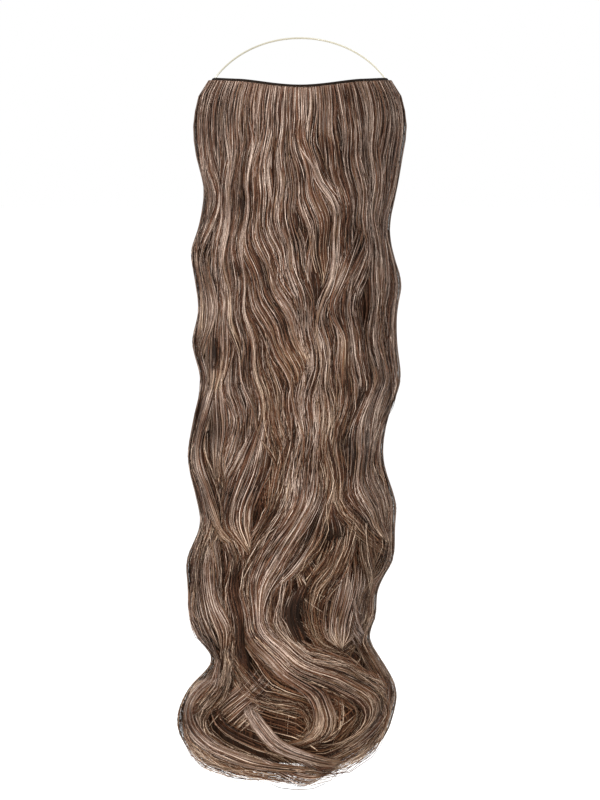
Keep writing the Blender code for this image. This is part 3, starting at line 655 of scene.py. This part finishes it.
def lock_sizes(share, down, half_width, thick):
    """Half width and half thickness of a lock along its length."""
    grown = ROOT_SHARE + (1 - ROOT_SHARE) * smooth_step(share / GROWTH_SHARE)
    run_out = TIP_SHARE + (1 - TIP_SHARE) * smooth_step((1 - share) / TIP_LENGTH_SHARE)
    return half_width * grown * run_out, thick * wall(down) * run_out


def add_lock(strands, turn, down, ride, thick, half_width, length, count, tint, root_turns):
    """One lock: clumps of strands that turn slowly about its centre line."""
    centres, out, side = lock_frame(turn, down, ride, thick)
    stations = len(turn)
    share = np.linspace(0.0, 1.0, stations)
    wide, deep = lock_sizes(share, down, half_width, thick)
    clumps = LOCK_CLUMPS
    clump = np.arange(count) % clumps
    phase = (np.arange(clumps) + RANDOM.uniform(-0.25, 0.25, clumps)) / clumps
    twist = RANDOM.choice((-1.0, 1.0)) * RANDOM.uniform(0.02, 0.08) * length / 0.30
    angle = math.pi * (1.3 * phase[:, None] - 0.15 + 2 * twist * share)
    reach = RANDOM.uniform(0.35, 0.78, clumps)[:, None] * np.ones(stations)
    clump_size = RANDOM.uniform(0.20, 0.36, clumps)
    clump_tone = RANDOM.normal(0.0, 0.045, clumps)
    spin = RANDOM.uniform(0, 2 * math.pi, count)
    radius = np.sqrt(RANDOM.random(count)) * clump_size[clump]
    swirl = spin[:, None] + (2 * math.pi * twist * 1.5) * share
    a = reach[clump] * np.cos(angle[clump]) + radius[:, None] * np.cos(swirl)
    b = reach[clump] * np.sin(angle[clump]) + radius[:, None] * np.sin(swirl)
    # Each strand also wavers a little by itself, more towards the tips.
    loose = WAVER_AT_ROOT + WAVER_GROWTH * smooth_step(down / 0.9)
    waver = np.zeros((2, count, stations))
    for axis in range(2):
        for wave_length in WAVER_LENGTHS:
            pitch = RANDOM.uniform(0.8, 1.25, count)[:, None] / wave_length
            start = RANDOM.uniform(0, 2 * math.pi, count)[:, None]
            waver[axis] += loose * np.sin(2 * math.pi * pitch * share * length + start)
    sideways = a * wide + waver[0]
    lifted = b * deep + waver[1] * 0.5
    points = centres + side * sideways[..., None] + out * lifted[..., None]
    if root_turns is not None:
        order = np.argsort(np.argsort(a[:, 0] * np.sign(side[0, 0])))
        spread_turn = np.interp(order / max(count - 1, 1), (0, 1), root_turns)
        inset = rooted_inset(RANDOM.uniform(0.02, 0.75, count)[:, None], down)
        drift = spread_turn[:, None] + 0.0 * down
        even = hair_point(drift, np.broadcast_to(down, drift.shape), inset)
        even = even + side * (waver[0] * smooth_step(down / 0.03))[..., None]
        blend = smooth_step(down / ROOT_BLEND)[None, :, None]
        points = even * (1 - blend) + points * blend
    # Strands of a lock don't all reach its tip: those cut shorter are squeezed along it.
    end = 1.0 - LOCK_RAGGED * RANDOM.random(count) ** 1.6
    where = end[:, None] * share * (stations - 1)
    low = np.minimum(where.astype(int), stations - 2)
    part = (where - low)[..., None]
    rows = np.arange(count)[:, None]
    points = points[rows, low] * (1 - part) + points[rows, low + 1] * part
    tilt = RANDOM.uniform(-0.6, 0.6, count)[:, None] + 0.35 * np.sin(
        2 * math.pi * (share * RANDOM.uniform(1, 3, count)[:, None] + RANDOM.random(count)[:, None]))
    across = side * np.cos(tilt)[..., None] + out * np.sin(tilt)[..., None]
    along = np.gradient(points, axis=1)
    across = unit(across - unit(along) * np.sum(across * unit(along), axis=-1, keepdims=True))
    width = STRAND_WIDTH * RANDOM.uniform(0.65, 1.25, count)[:, None]
    taper = 0.25 + 0.75 * smooth_step((1 - share) / 0.10)
    tones = (tones_for(tint, count) + clump_tone[clump])[:, None]
    # Painted shade: strands that lie deeper in the lock are darker.
    tones = tones - DEPTH_PAINTED_SHADE * LOCK_DEPTH_SHADE_SHARE * (1 - b)
    # Painted highlight and shade: strands are paler where the crests come out and darker where they
    # sink in.
    strands.add(points, across, width * taper, tones - CREST_LIGHT_AND_SHADE * crest(np.sin(turn), down))


def root_spans():
    """For each lock that starts at the band, the turns between which its roots lie."""
    roots = []
    for i, lock in enumerate(LOCKS):
        across, down = lock.route[0]
        if down == 0.0:
            roots.append((float(hair_turn(np.float64(across), np.float64(0.0), 0.0)), ("lock", i)))
    for i, flank in enumerate(FLANKS):
        roots.append((math.radians(flank.turn_deg), ("flank", i)))
    roots.sort()
    spans = {}
    for k, (turn, key) in enumerate(roots):
        low = (roots[k - 1][0] + turn) / 2 if k else -math.pi / 2
        high = (roots[k + 1][0] + turn) / 2 if k + 1 < len(roots) else math.pi / 2
        spans[key] = (low, high)
    return spans


def add_main_locks(groups):
    spans = root_spans()
    for i, lock in enumerate(LOCKS):
        across, down, length = smooth_route(lock.route)
        inset = (lock.ride + lock.thick) * wall(down)
        turn = hair_turn(rippled(across, down), down, inset)
        half_width = lock.width * HAIR_HALF_WIDTH
        count = int(LOCK_STRANDS_FOR_WIDTH * lock.width) + LOCK_STRANDS
        add_lock(groups[i % len(groups)], turn, down, lock.ride, lock.thick, half_width,
                 length, count, lock.tint, spans.get(("lock", i)))
    for i, flank in enumerate(FLANKS):
        stations = int(flank.length * HAIR_LENGTH / STRAND_SEGMENT)
        down = np.linspace(0.0, flank.length, stations)
        wave = np.sin(2 * math.pi * (down * HAIR_LENGTH / FLANK_WAVE_LENGTH + flank.phase))
        sway = FLANK_SWAY_DEG * smooth_step(down / FLANK_SWAY_FROM) * wave
        turn = np.radians(flank.turn_deg + sway)
        add_lock(groups[i % len(groups)], turn, down, FLANK_RIDE, FLANK_THICK,
                 FLANK_WIDTH * HAIR_HALF_WIDTH, flank.length * HAIR_LENGTH, FLANK_STRANDS,
                 flank.tint, spans[("flank", i)])


def add_streaks(strands):
    for streak in STREAKS:
        left = [(across - streak.width, down) for across, down in streak.route]
        right = [(across + streak.width, down) for across, down in streak.route]
        add_sheet(strands, Sheet(streak.strands, streak.tint, streak.ride, left, right))


def add_plain(strands, turn, down, inset, most_tilt, tint):
    """Strands along these places, each of one width and one tone."""
    count, stations = turn.shape
    points = hair_point(turn, down, inset)
    tilt = RANDOM.uniform(-most_tilt, most_tilt, count)[:, None, None]
    width = STRAND_WIDTH * RANDOM.uniform(0.8, 1.5, count)[:, None] * np.ones(stations)
    tones = tones_for(tint, count)[:, None] + np.zeros(stations)
    strands.add(points, strip_sides(points, turn, tilt), width, tones)


def add_fan(strands, first, second, count, depths):
    """Strands that fill the hollow between two locks and follow the flow of both."""
    share = np.linspace(0.0, 1.0, FAN_STATIONS)
    sides = []
    top = max(first.route[0][1], second.route[0][1])
    for lock in (first, second):
        across, down = smooth_route([place for place in lock.route if place[1] >= top])[:2]
        places = np.linspace(0.0, 1.0, len(across))
        sides.append((np.interp(share, places, across), np.interp(share, places, down)))
    part = RANDOM.uniform(-0.15, 1.15, count)[:, None]
    where = share * RANDOM.uniform(0.80, 1.0, count)[:, None]
    across, down = (
        np.interp(where, share, sides[0][axis]) * (1 - part)
        + np.interp(where, share, sides[1][axis]) * part for axis in range(2))
    loose = smooth_step(where / 0.3) * RANDOM.uniform(-0.02, 0.02, count)[:, None]
    pitch = RANDOM.uniform(3.0, 7.0, count)[:, None]
    down = np.minimum(down, 1.0)
    across = across + loose * np.sin(2 * math.pi * (pitch * where + RANDOM.random(count)[:, None]))
    inset = rooted_inset(RANDOM.uniform(depths[0], depths[1], count)[:, None], down)
    turn = hair_turn(rippled(across, down), down, inset)
    # Painted shade: the fan strands take the deep tint to darken the hollow.
    add_plain(strands, turn, down, inset, 0.6, "deep")


def add_sheet(strands, sheet):
    """A broad lock of nearly parallel strands, crowned across and sunk at both ends."""
    count = sheet.strands
    length = smooth_route(sheet.left)[2]
    stations = max(int(length / STRAND_SEGMENT), FEWEST_STATIONS)
    share = np.linspace(0.0, 1.0, stations)
    start = SHEET_RAGGED * RANDOM.random(count)[:, None]
    end = 1.0 - SHEET_RAGGED * RANDOM.random(count)[:, None] ** 2
    where = start + (end - start) * share
    part = RANDOM.random(count)[:, None]
    clump = (part * SHEET_CLUMPS).astype(int)[:, 0]
    pitch = RANDOM.uniform(1.0, 2.5, count)[:, None] * length / 0.20
    drift = np.clip(RANDOM.normal(0.0, 0.030, count)[:, None], -0.05, 0.05)
    waver = np.sin(2 * math.pi * (pitch * where + RANDOM.random(count)[:, None]))
    moved = np.clip(part + drift * waver, -0.04, 1.04)
    place = (
        curve_through(sheet.left, where) * (1 - moved)[..., None]
        + curve_through(sheet.right, where) * moved[..., None])
    across, down = rippled(place[..., 0], place[..., 1]), place[..., 1]
    wave = crest(across, down)
    sunk = (1 - smooth_step(where / 0.14)) + smooth_step((where - 0.84) / 0.16)
    level = RANDOM.uniform(-0.03, 0.07, count)[:, None]
    rounding = SHEET_CROWN * (2 * part - 1) ** 2 + SHEET_DIP * sunk + CREST_DEPTH * wave
    inset = wall(down) * (sheet.depth + level + rounding)
    turn = hair_turn(across, down, inset)
    points = hair_point(turn, down, inset)
    tilt = (RANDOM.uniform(-0.5, 0.5, count)[:, None] + 0.6 * (2 * part - 1))[..., None]
    taper = smooth_step(share / 0.06) * smooth_step((1 - share) / 0.08)
    width = STRAND_WIDTH * RANDOM.uniform(0.7, 1.3, count)[:, None] * (0.2 + 0.8 * taper)
    tones = (tones_for(sheet.tint, count) + RANDOM.normal(0.0, 0.06, SHEET_CLUMPS)[clump])[:, None]
    # Painted light and shade: paler on the crests, darker where the sheet sinks at its borders and
    # ends.
    tones = tones - CREST_LIGHT_AND_SHADE * wave - DEPTH_PAINTED_SHADE * np.maximum(rounding, 0.0)
    strands.add(points, strip_sides(points, turn, tilt), width, tones)


def add_fans(strands):
    rooted = [lock for lock in LOCKS if lock.route[0][1] == 0.0]
    rooted.sort(key=lambda lock: lock.route[0][0])
    for first, second in zip(rooted, rooted[1:]):
        add_fan(strands, first, second, FAN_STRANDS, FAN_DEPTHS)
    named = {lock.name: lock for lock in LOCKS}
    for first, second in MORE_FANS:
        add_fan(strands, named[first], named[second], MORE_FAN_STRANDS, MORE_FAN_DEPTHS)


def add_layer(strands, turns, layer):
    """A layer of strands at these turns round the head, which sway with the outline."""
    count = layer.strands
    depths = RANDOM.uniform(layer.shallow, layer.deep, count)[:, None]
    ends = layer.end * RANDOM.uniform(0.93, 1.0, count)[:, None]
    down = np.linspace(0.0, 1.0, LAYER_STATIONS) * ends
    turn = turns[:, None] + np.zeros(LAYER_STATIONS)
    for wave_length, amount in LAYER_WAVES:
        start = RANDOM.normal(0.0, 0.5, count)[:, None] + turns[:, None] * 2.2
        turn = turn + amount * math.radians(layer.sway_deg) * smooth_step(down / 0.35) * np.sin(
            2 * math.pi * down * HAIR_LENGTH / wave_length + start)
    turn = np.clip(turn, -math.pi / 2, math.pi / 2)
    inset = np.maximum(depths * wall(down), rooted_inset(0.0, down))
    add_plain(strands, turn, down, inset, 0.5, layer.tint)


def add_round_layer(strands, layer):
    """A layer from one open edge round the back to the other."""
    add_layer(strands, RANDOM.uniform(-math.pi / 2, math.pi / 2, layer.strands), layer)


def add_edges(strands):
    """Strands along the two open edges, on the outline and over the full depth."""
    for side in (-1, 1):
        for from_deg, layer in EDGE_LAYERS:
            turns = side * np.radians(RANDOM.uniform(from_deg, 90, layer.strands))
            add_layer(strands, turns, layer)


def new_material(name):
    made = bpy.data.materials.new(name)
    made.use_nodes = True
    return made, made.node_tree.nodes, made.node_tree.links


def hair_material():
    made, nodes, links = new_material("hair_strands")
    shader = nodes["Principled BSDF"]
    place = nodes.new("ShaderNodeUVMap")
    place.uv_map = "OFBake"
    split = nodes.new("ShaderNodeSeparateXYZ")
    links.new(place.outputs["UV"], split.inputs["Vector"])
    ramp = nodes.new("ShaderNodeValToRGB")
    stops = (
        (0.00, (0.008, 0.004, 0.002)), (0.12, (0.018, 0.009, 0.005)),
        (0.25, (0.042, 0.016, 0.008)), (0.36, (0.094, 0.043, 0.024)),
        (0.45, (0.132, 0.060, 0.035)), (0.54, (0.155, 0.095, 0.057)),
        (0.62, (0.165, 0.110, 0.082)), (0.72, (0.235, 0.163, 0.127)),
        (0.85, (0.400, 0.298, 0.240)), (1.00, (0.590, 0.458, 0.372)),
    )
    while len(ramp.color_ramp.elements) < len(stops):
        ramp.color_ramp.elements.new(0.5)
    for element, (position, colour) in zip(ramp.color_ramp.elements, stops):
        element.position = position
        element.color = (*colour, 1.0)
    links.new(split.outputs["X"], ramp.inputs["Fac"])
    stretch = nodes.new("ShaderNodeMapping")
    stretch.inputs["Scale"].default_value = (110.0, 240.0, 1.0)
    links.new(place.outputs["UV"], stretch.inputs["Vector"])
    # Noise along the strands makes them paler and darker in short runs: partly random tone, partly
    # painted glints and shade of fine crimps.
    fine = nodes.new("ShaderNodeTexNoise")
    fine.inputs["Scale"].default_value = 1.0
    fine.inputs["Detail"].default_value = 3.0
    fine.inputs["Roughness"].default_value = 0.65
    links.new(stretch.outputs["Vector"], fine.inputs["Vector"])
    strength = nodes.new("ShaderNodeMapRange")
    strength.inputs["From Min"].default_value = 0.28
    strength.inputs["From Max"].default_value = 0.72
    strength.inputs["To Min"].default_value = 0.25
    strength.inputs["To Max"].default_value = 1.90
    links.new(fine.outputs["Fac"], strength.inputs["Value"])
    shade = nodes.new("ShaderNodeMix")
    shade.data_type = "RGBA"
    shade.blend_type = "MULTIPLY"
    shade.inputs["Factor"].default_value = 1.0
    links.new(ramp.outputs["Color"], shade.inputs["A"])
    links.new(strength.outputs["Result"], shade.inputs["B"])
    tips = nodes.new("ShaderNodeMapRange")
    tips.inputs["From Min"].default_value = 0.55
    tips.inputs["From Max"].default_value = 1.0
    links.new(split.outputs["Y"], tips.inputs["Value"])
    warm = nodes.new("ShaderNodeMix")
    warm.data_type = "RGBA"
    warm.blend_type = "MULTIPLY"
    warm.inputs["B"].default_value = (0.97, 0.90, 0.74, 1.0)
    links.new(tips.outputs["Result"], warm.inputs["Factor"])
    links.new(shade.outputs["Result"], warm.inputs["A"])
    links.new(warm.outputs["Result"], shader.inputs["Base Color"])
    shader.inputs["Roughness"].default_value = 0.46
    shader.inputs["Specular IOR Level"].default_value = 0.07
    return made


def shade_wall_material():
    made, nodes, _ = new_material("hair_shade_wall")
    shader = nodes["Principled BSDF"]
    # Near black: painted shade that shows in the gaps between the strands.
    shader.inputs["Base Color"].default_value = (0.030, 0.016, 0.010, 1.0)
    shader.inputs["Roughness"].default_value = 0.9
    shader.inputs["Specular IOR Level"].default_value = 0.05
    return made


def hair_shell(name, inset_share, end_share, surface):
    """A wall behind the strands, near black as painted shade in their gaps, on the same surfaces as
    the solid hair.
    """
    columns, rows = 60, 110
    turns = np.linspace(-math.pi / 2, math.pi / 2, columns + 1)
    downs = np.linspace(0.0, end_share, rows + 1)
    turn, down = np.meshgrid(turns, downs)
    below = smooth_step((down - 0.01) / 0.03)
    points = hair_point(turn, down, (1.0 + (inset_share - 1.0) * below) * wall(down))
    mesh = bpy.data.meshes.new(name)
    first = (np.arange(rows)[:, None] * (columns + 1) + np.arange(columns)).ravel()
    faces = np.stack((first, first + columns + 1, first + columns + 2, first + 1), axis=-1)
    mesh.from_pydata(points.reshape(-1, 3).tolist(), [], faces.tolist())
    mesh.shade_smooth()
    add_piece(name, mesh, surface)


def noise_between(nodes, links, scale, low, high):
    """A noise in object space that runs between two colours; gives its nodes' sockets."""
    place = nodes.new("ShaderNodeTexCoord")
    noise = nodes.new("ShaderNodeTexNoise")
    noise.inputs["Scale"].default_value = scale
    noise.inputs["Detail"].default_value = 4.0
    links.new(place.outputs["Object"], noise.inputs["Vector"])
    mix = nodes.new("ShaderNodeMix")
    mix.data_type = "RGBA"
    mix.inputs["A"].default_value = (*low, 1.0)
    mix.inputs["B"].default_value = (*high, 1.0)
    links.new(noise.outputs["Fac"], mix.inputs["Factor"])
    return noise.outputs["Fac"], mix.outputs["Result"]


def add_bump(nodes, links, height, strength, distance):
    bump = nodes.new("ShaderNodeBump")
    bump.inputs["Strength"].default_value = strength
    bump.inputs["Distance"].default_value = distance
    links.new(height, bump.inputs["Height"])
    links.new(bump.outputs["Normal"], nodes["Principled BSDF"].inputs["Normal"])


def nylon_material():
    made, nodes, links = new_material("clear_nylon")
    shader = nodes["Principled BSDF"]
    height, colour = noise_between(nodes, links, 60.0, (0.39, 0.36, 0.27), (0.50, 0.47, 0.37))
    links.new(colour, shader.inputs["Base Color"])
    shader.inputs["Roughness"].default_value = 0.22
    shader.inputs["Specular IOR Level"].default_value = 0.45
    add_bump(nodes, links, height, 0.10, 0.0002)
    return made


def crimp_material():
    made, nodes, links = new_material("crimp_metal")
    shader = nodes["Principled BSDF"]
    height, colour = noise_between(nodes, links, 900.0, (0.30, 0.22, 0.14), (0.55, 0.42, 0.28))
    links.new(colour, shader.inputs["Base Color"])
    shader.inputs["Metallic"].default_value = 0.85
    shader.inputs["Roughness"].default_value = 0.38
    add_bump(nodes, links, height, 0.25, 0.0001)
    return made


def tape_material():
    """Black-brown woven tape: two crossed waves make its threads."""
    made, nodes, links = new_material("woven_tape")
    shader = nodes["Principled BSDF"]
    height, colour = noise_between(nodes, links, 700.0, (0.006, 0.004, 0.003), (0.022, 0.014, 0.009))
    links.new(colour, shader.inputs["Base Color"])
    shader.inputs["Roughness"].default_value = 0.85
    shader.inputs["Specular IOR Level"].default_value = 0.10
    place = nodes.new("ShaderNodeTexCoord")
    threads = []
    for direction in ("X", "Z"):
        wave = nodes.new("ShaderNodeTexWave")
        wave.bands_direction = direction
        wave.inputs["Scale"].default_value = 420.0
        wave.inputs["Distortion"].default_value = 0.6
        links.new(place.outputs["Object"], wave.inputs["Vector"])
        threads.append(wave.outputs["Fac"])
    weave = nodes.new("ShaderNodeMath")
    weave.operation = "MAXIMUM"
    links.new(threads[0], weave.inputs[0])
    links.new(threads[1], weave.inputs[1])
    add_bump(nodes, links, weave.outputs["Value"], 0.6, 0.0003)
    return made


def thread_material():
    made, nodes, links = new_material("thread")
    shader = nodes["Principled BSDF"]
    height, colour = noise_between(nodes, links, 1500.0, (0.045, 0.026, 0.016), (0.10, 0.062, 0.040))
    links.new(colour, shader.inputs["Base Color"])
    shader.inputs["Roughness"].default_value = 0.6
    add_bump(nodes, links, height, 0.3, 0.0001)
    return made


def loft(name, rings, surface):
    """A smooth closed body through rings that all have as many points."""
    rings = np.array(rings)
    rows, sides = rings.shape[:2]
    body = bmesh.new()
    points = [[body.verts.new(point) for point in ring] for ring in rings]
    for upper, lower in zip(points, points[1:]):
        for i in range(sides):
            j = (i + 1) % sides
            body.faces.new((upper[i], upper[j], lower[j], lower[i]))
    body.faces.new(points[0])
    body.faces.new(points[-1])
    bmesh.ops.recalc_face_normals(body, faces=body.faces)
    mesh = bpy.data.meshes.new(name)
    body.to_mesh(mesh)
    body.free()
    mesh.shade_smooth()
    mesh.set_sharp_from_angle(angle=math.radians(50))
    return add_piece(name, mesh, surface)


def band_point(turn, inset, below):
    return np.array((
        (BAND_HALF_WIDTH - inset) * math.sin(turn),
        -(BAND_DEPTH - inset) * math.cos(turn),
        float(band_edge_height(turn)) - below,
    ))


def band_section():
    """The band's section as places inward and down, with round edges and sewn ridges."""
    round_edge = BAND_THICKNESS / 2
    section = []
    for i in range(7):
        angle = math.pi * i / 6
        section.append((round_edge * (1 - math.cos(angle)), round_edge * (1 - math.sin(angle))))
    for row in STITCH_ROWS:
        for aside, pressed in ((-0.0013, 0.0), (0.0, 0.00035), (0.0013, 0.0)):
            section.append((BAND_THICKNESS - pressed, row + aside))
    for i in range(7):
        angle = math.pi * i / 6
        section.append((
            round_edge * (1 + math.cos(angle)),
            BAND_HEIGHT - round_edge * (1 - math.sin(angle))))
    return section


def add_band():
    section = band_section()
    panels = 150
    rings = []
    for k in range(panels + 1):
        turn = BAND_END_TURN * (2 * k / panels - 1)
        rings.append([band_point(turn, inset, below) for inset, below in section])
    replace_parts(loft("weft_tape", rings, tape_material()), "weft_band")


def add_stitches():
    """Rows of short stitches on the inside of the band, joined in one mesh."""
    fine = np.linspace(-BAND_END_TURN, BAND_END_TURN, 400)
    inner_width, inner_depth = BAND_HALF_WIDTH - BAND_THICKNESS, BAND_DEPTH - BAND_THICKNESS
    steps = np.hypot(
        np.diff(inner_width * np.sin(fine)), np.diff(inner_depth * np.cos(fine)))
    gone = np.concatenate(([0.0], np.cumsum(steps)))
    body = bmesh.new()
    for number, below in enumerate(STITCH_ROWS):
        count = int((gone[-1] - 2 * STITCH_MARGIN) / STITCH_PITCH)
        for k in range(count):
            middle = STITCH_MARGIN + STITCH_PITCH * (k + 0.5 + STITCH_STAGGER * (number % 2))
            turns = np.interp((middle - STITCH_LENGTH / 2, middle + STITCH_LENGTH / 2), gone, fine)
            slant = RANDOM.uniform(-STITCH_SLANT, STITCH_SLANT)
            start = Vector(band_point(turns[0], BAND_THICKNESS, below - slant))
            end = Vector(band_point(turns[1], BAND_THICKNESS, below + slant))
            turn_quat = (end - start).to_track_quat("Z", "Y")
            made = bmesh.ops.create_uvsphere(body, u_segments=6, v_segments=5, radius=STITCH_RADIUS)
            stretch = (end - start).length / (2 * STITCH_RADIUS)
            for vert in made["verts"]:
                place = Vector((vert.co.x, vert.co.y, vert.co.z * stretch))
                vert.co = (start + end) / 2 + turn_quat @ place
    mesh = bpy.data.meshes.new("weft_stitches")
    body.to_mesh(mesh)
    body.free()
    mesh.shade_smooth()
    add_piece("weft_stitches", mesh, thread_material())


def wire_end():
    end = band_point(BAND_END_TURN, BAND_THICKNESS / 2, WIRE_BELOW_EDGE)
    end[1] += GAP + SLEEVE_LENGTH
    return end


def tube_rings(route, radii, sides):
    """Rings of a round tube along a route, whose points run from -X to +X."""
    route = np.array(route)
    way = unit(np.gradient(route, axis=0))
    rings = []
    up = np.array((0.0, 0.0, 1.0))
    for point, direction, radius in zip(route, way, radii):
        side = unit(np.cross(up, direction))
        lift = np.cross(direction, side)
        angles = 2 * math.pi * np.arange(sides) / sides
        rings.append([
            point + radius * (math.cos(a) * side + math.sin(a) * lift) for a in angles])
    return rings


def add_wire():
    """The nylon wire, on the CAD wire's route but as a smooth round tube."""
    end = wire_end()
    inside = end - np.array((0.0, SLEEVE_LENGTH, 0.0))
    route = [inside * (-1, 1, 1), (inside + end) / 2 * (-1, 1, 1)]
    steps = 140
    crown = 1 - math.cos(WIRE_END_ANGLE)
    for i in range(steps + 1):
        turn = math.pi / 2 * (2 * i / steps - 1)
        across = math.sin(turn)
        angle = math.asin(across * math.sin(WIRE_END_ANGLE))
        rise = (math.cos(angle) - math.cos(WIRE_END_ANGLE)) / crown
        route.append(np.array((
            end[0] * across,
            end[1] + (WIRE_REACH - end[1]) * math.cos(turn),
            end[2] + WIRE_RISE * rise,
        )))
    route += [(inside + end) / 2, inside]
    radii = [WIRE_DIAMETER / 2] * len(route)
    wire = loft("nylon_wire", tube_rings(route, radii, 16), nylon_material())
    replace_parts(wire, "halo_wire")


def add_sleeves():
    """Crimp sleeves, each a short tube pressed in at two places."""
    metal = crimp_material()
    end = wire_end()
    outside = WIRE_DIAMETER / 2 + GAP + SLEEVE_WALL
    for side, name in ((-1, "left"), (1, "right")):
        route, radii = [], []
        for k in range(33):
            share = k / 32
            place = end - np.array((0.0, SLEEVE_LENGTH * share, 0.0))
            route.append(place * (side, 1, 1))
            pressed = sum(math.exp(-((share - at) / 0.09) ** 2) for at in (0.30, 0.70))
            rounded = min(share, 1 - share, 0.08) / 0.08
            radii.append(outside - 0.0005 * pressed - 0.0003 * (1 - rounded))
        rings = tube_rings(route, radii, 20)
        sleeve = loft(f"crimp_{name}", rings, metal)
        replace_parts(sleeve, f"wire_anchor_{name}")


def add_camera():
    data = bpy.data.cameras.new("camera")
    data.sensor_width = SENSOR_MM
    data.lens = SENSOR_MM * CAMERA_DISTANCE / IMAGE_HEIGHT_M
    camera = bpy.data.objects.new("camera", data)
    bpy.context.scene.collection.objects.link(camera)
    target = Vector((0.0, -0.10, -IMAGE_CENTRE_DOWN))
    away = Vector((0.0, -math.cos(CAMERA_ELEVATION), math.sin(CAMERA_ELEVATION)))
    camera.location = target + away * CAMERA_DISTANCE
    camera.rotation_euler = (-away).to_track_quat("-Z", "Y").to_euler()
    bpy.context.scene.camera = camera


def add_light(name, place, target, size, power):
    data = bpy.data.lights.new(name, "AREA")
    data.shape = "DISK"
    data.size = size
    data.energy = power
    light = bpy.data.objects.new(name, data)
    bpy.context.scene.collection.objects.link(light)
    light.location = place
    light.rotation_euler = (Vector(target) - Vector(place)).to_track_quat("-Z", "Y").to_euler()


def add_studio():
    world = bpy.data.worlds.new("studio")
    bpy.context.scene.world = world
    world.use_nodes = True
    background = world.node_tree.nodes["Background"]
    background.inputs["Color"].default_value = (1.0, 1.0, 1.0, 1.0)
    background.inputs["Strength"].default_value = 1.0
    add_light("key", (-1.2, -2.2, 1.3), (0.0, 0.0, -0.25), 0.7, 70.0)
    add_light("fill", (1.6, -1.6, 0.4), (0.0, 0.0, -0.3), 1.2, 6.0)
    add_light("rear", (0.6, 2.0, 1.2), (0.0, 0.0, -0.25), 1.2, 14.0)
    mesh = bpy.data.meshes.new("floor")
    body = bmesh.new()
    bmesh.ops.create_circle(body, cap_ends=True, segments=96, radius=14.0)
    body.to_mesh(mesh)
    body.free()
    floor = bpy.data.objects.new("floor", mesh)
    floor.location = (0.0, 0.0, -0.70)
    bpy.context.scene.collection.objects.link(floor)
    made, nodes, _ = new_material("floor")
    nodes["Principled BSDF"].inputs["Base Color"].default_value = (0.96, 0.96, 0.96, 1.0)
    nodes["Principled BSDF"].inputs["Roughness"].default_value = 0.9
    nodes["Principled BSDF"].inputs["Emission Color"].default_value = (1.0, 1.0, 1.0, 1.0)
    nodes["Principled BSDF"].inputs["Emission Strength"].default_value = 0.08
    mesh.materials.append(made)
    bpy.context.scene.view_settings.view_transform = "Standard"


def main():
    add_camera()
    add_studio()
    hair = hair_material()
    groups = [Strands(f"hair_locks_{i + 1}") for i in range(LOCK_MESHES)]
    add_main_locks(groups)
    streaks = Strands("hair_streaks")
    add_streaks(streaks)
    fans = Strands("hair_fans")
    add_fans(fans)
    sheets = [Strands(f"hair_sheets_{i + 1}") for i in range(SHEET_MESHES)]
    for i, sheet in enumerate(SHEETS):
        add_sheet(sheets[i % len(sheets)], sheet)
    edges = Strands("hair_edge_strands")
    add_edges(edges)
    under = Strands("hair_under_strands")
    add_round_layer(under, UNDER_LAYER)
    inner = Strands("hair_inner_strands")
    add_round_layer(inner, INNER_LAYER)
    pieces = [group.build(hair) for group in groups + sheets + [streaks, fans, edges, under]]
    for piece in pieces:
        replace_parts(piece, "hair_outer_row")
    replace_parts(inner.build(hair), "hair_under_row")
    add_band()
    add_stitches()
    add_wire()
    add_sleeves()
    depths = shade_wall_material()
    for place, inset_share, end_share in SHELLS:
        hair_shell(f"hair_shade_wall_{place}", inset_share, end_share, depths)


main()
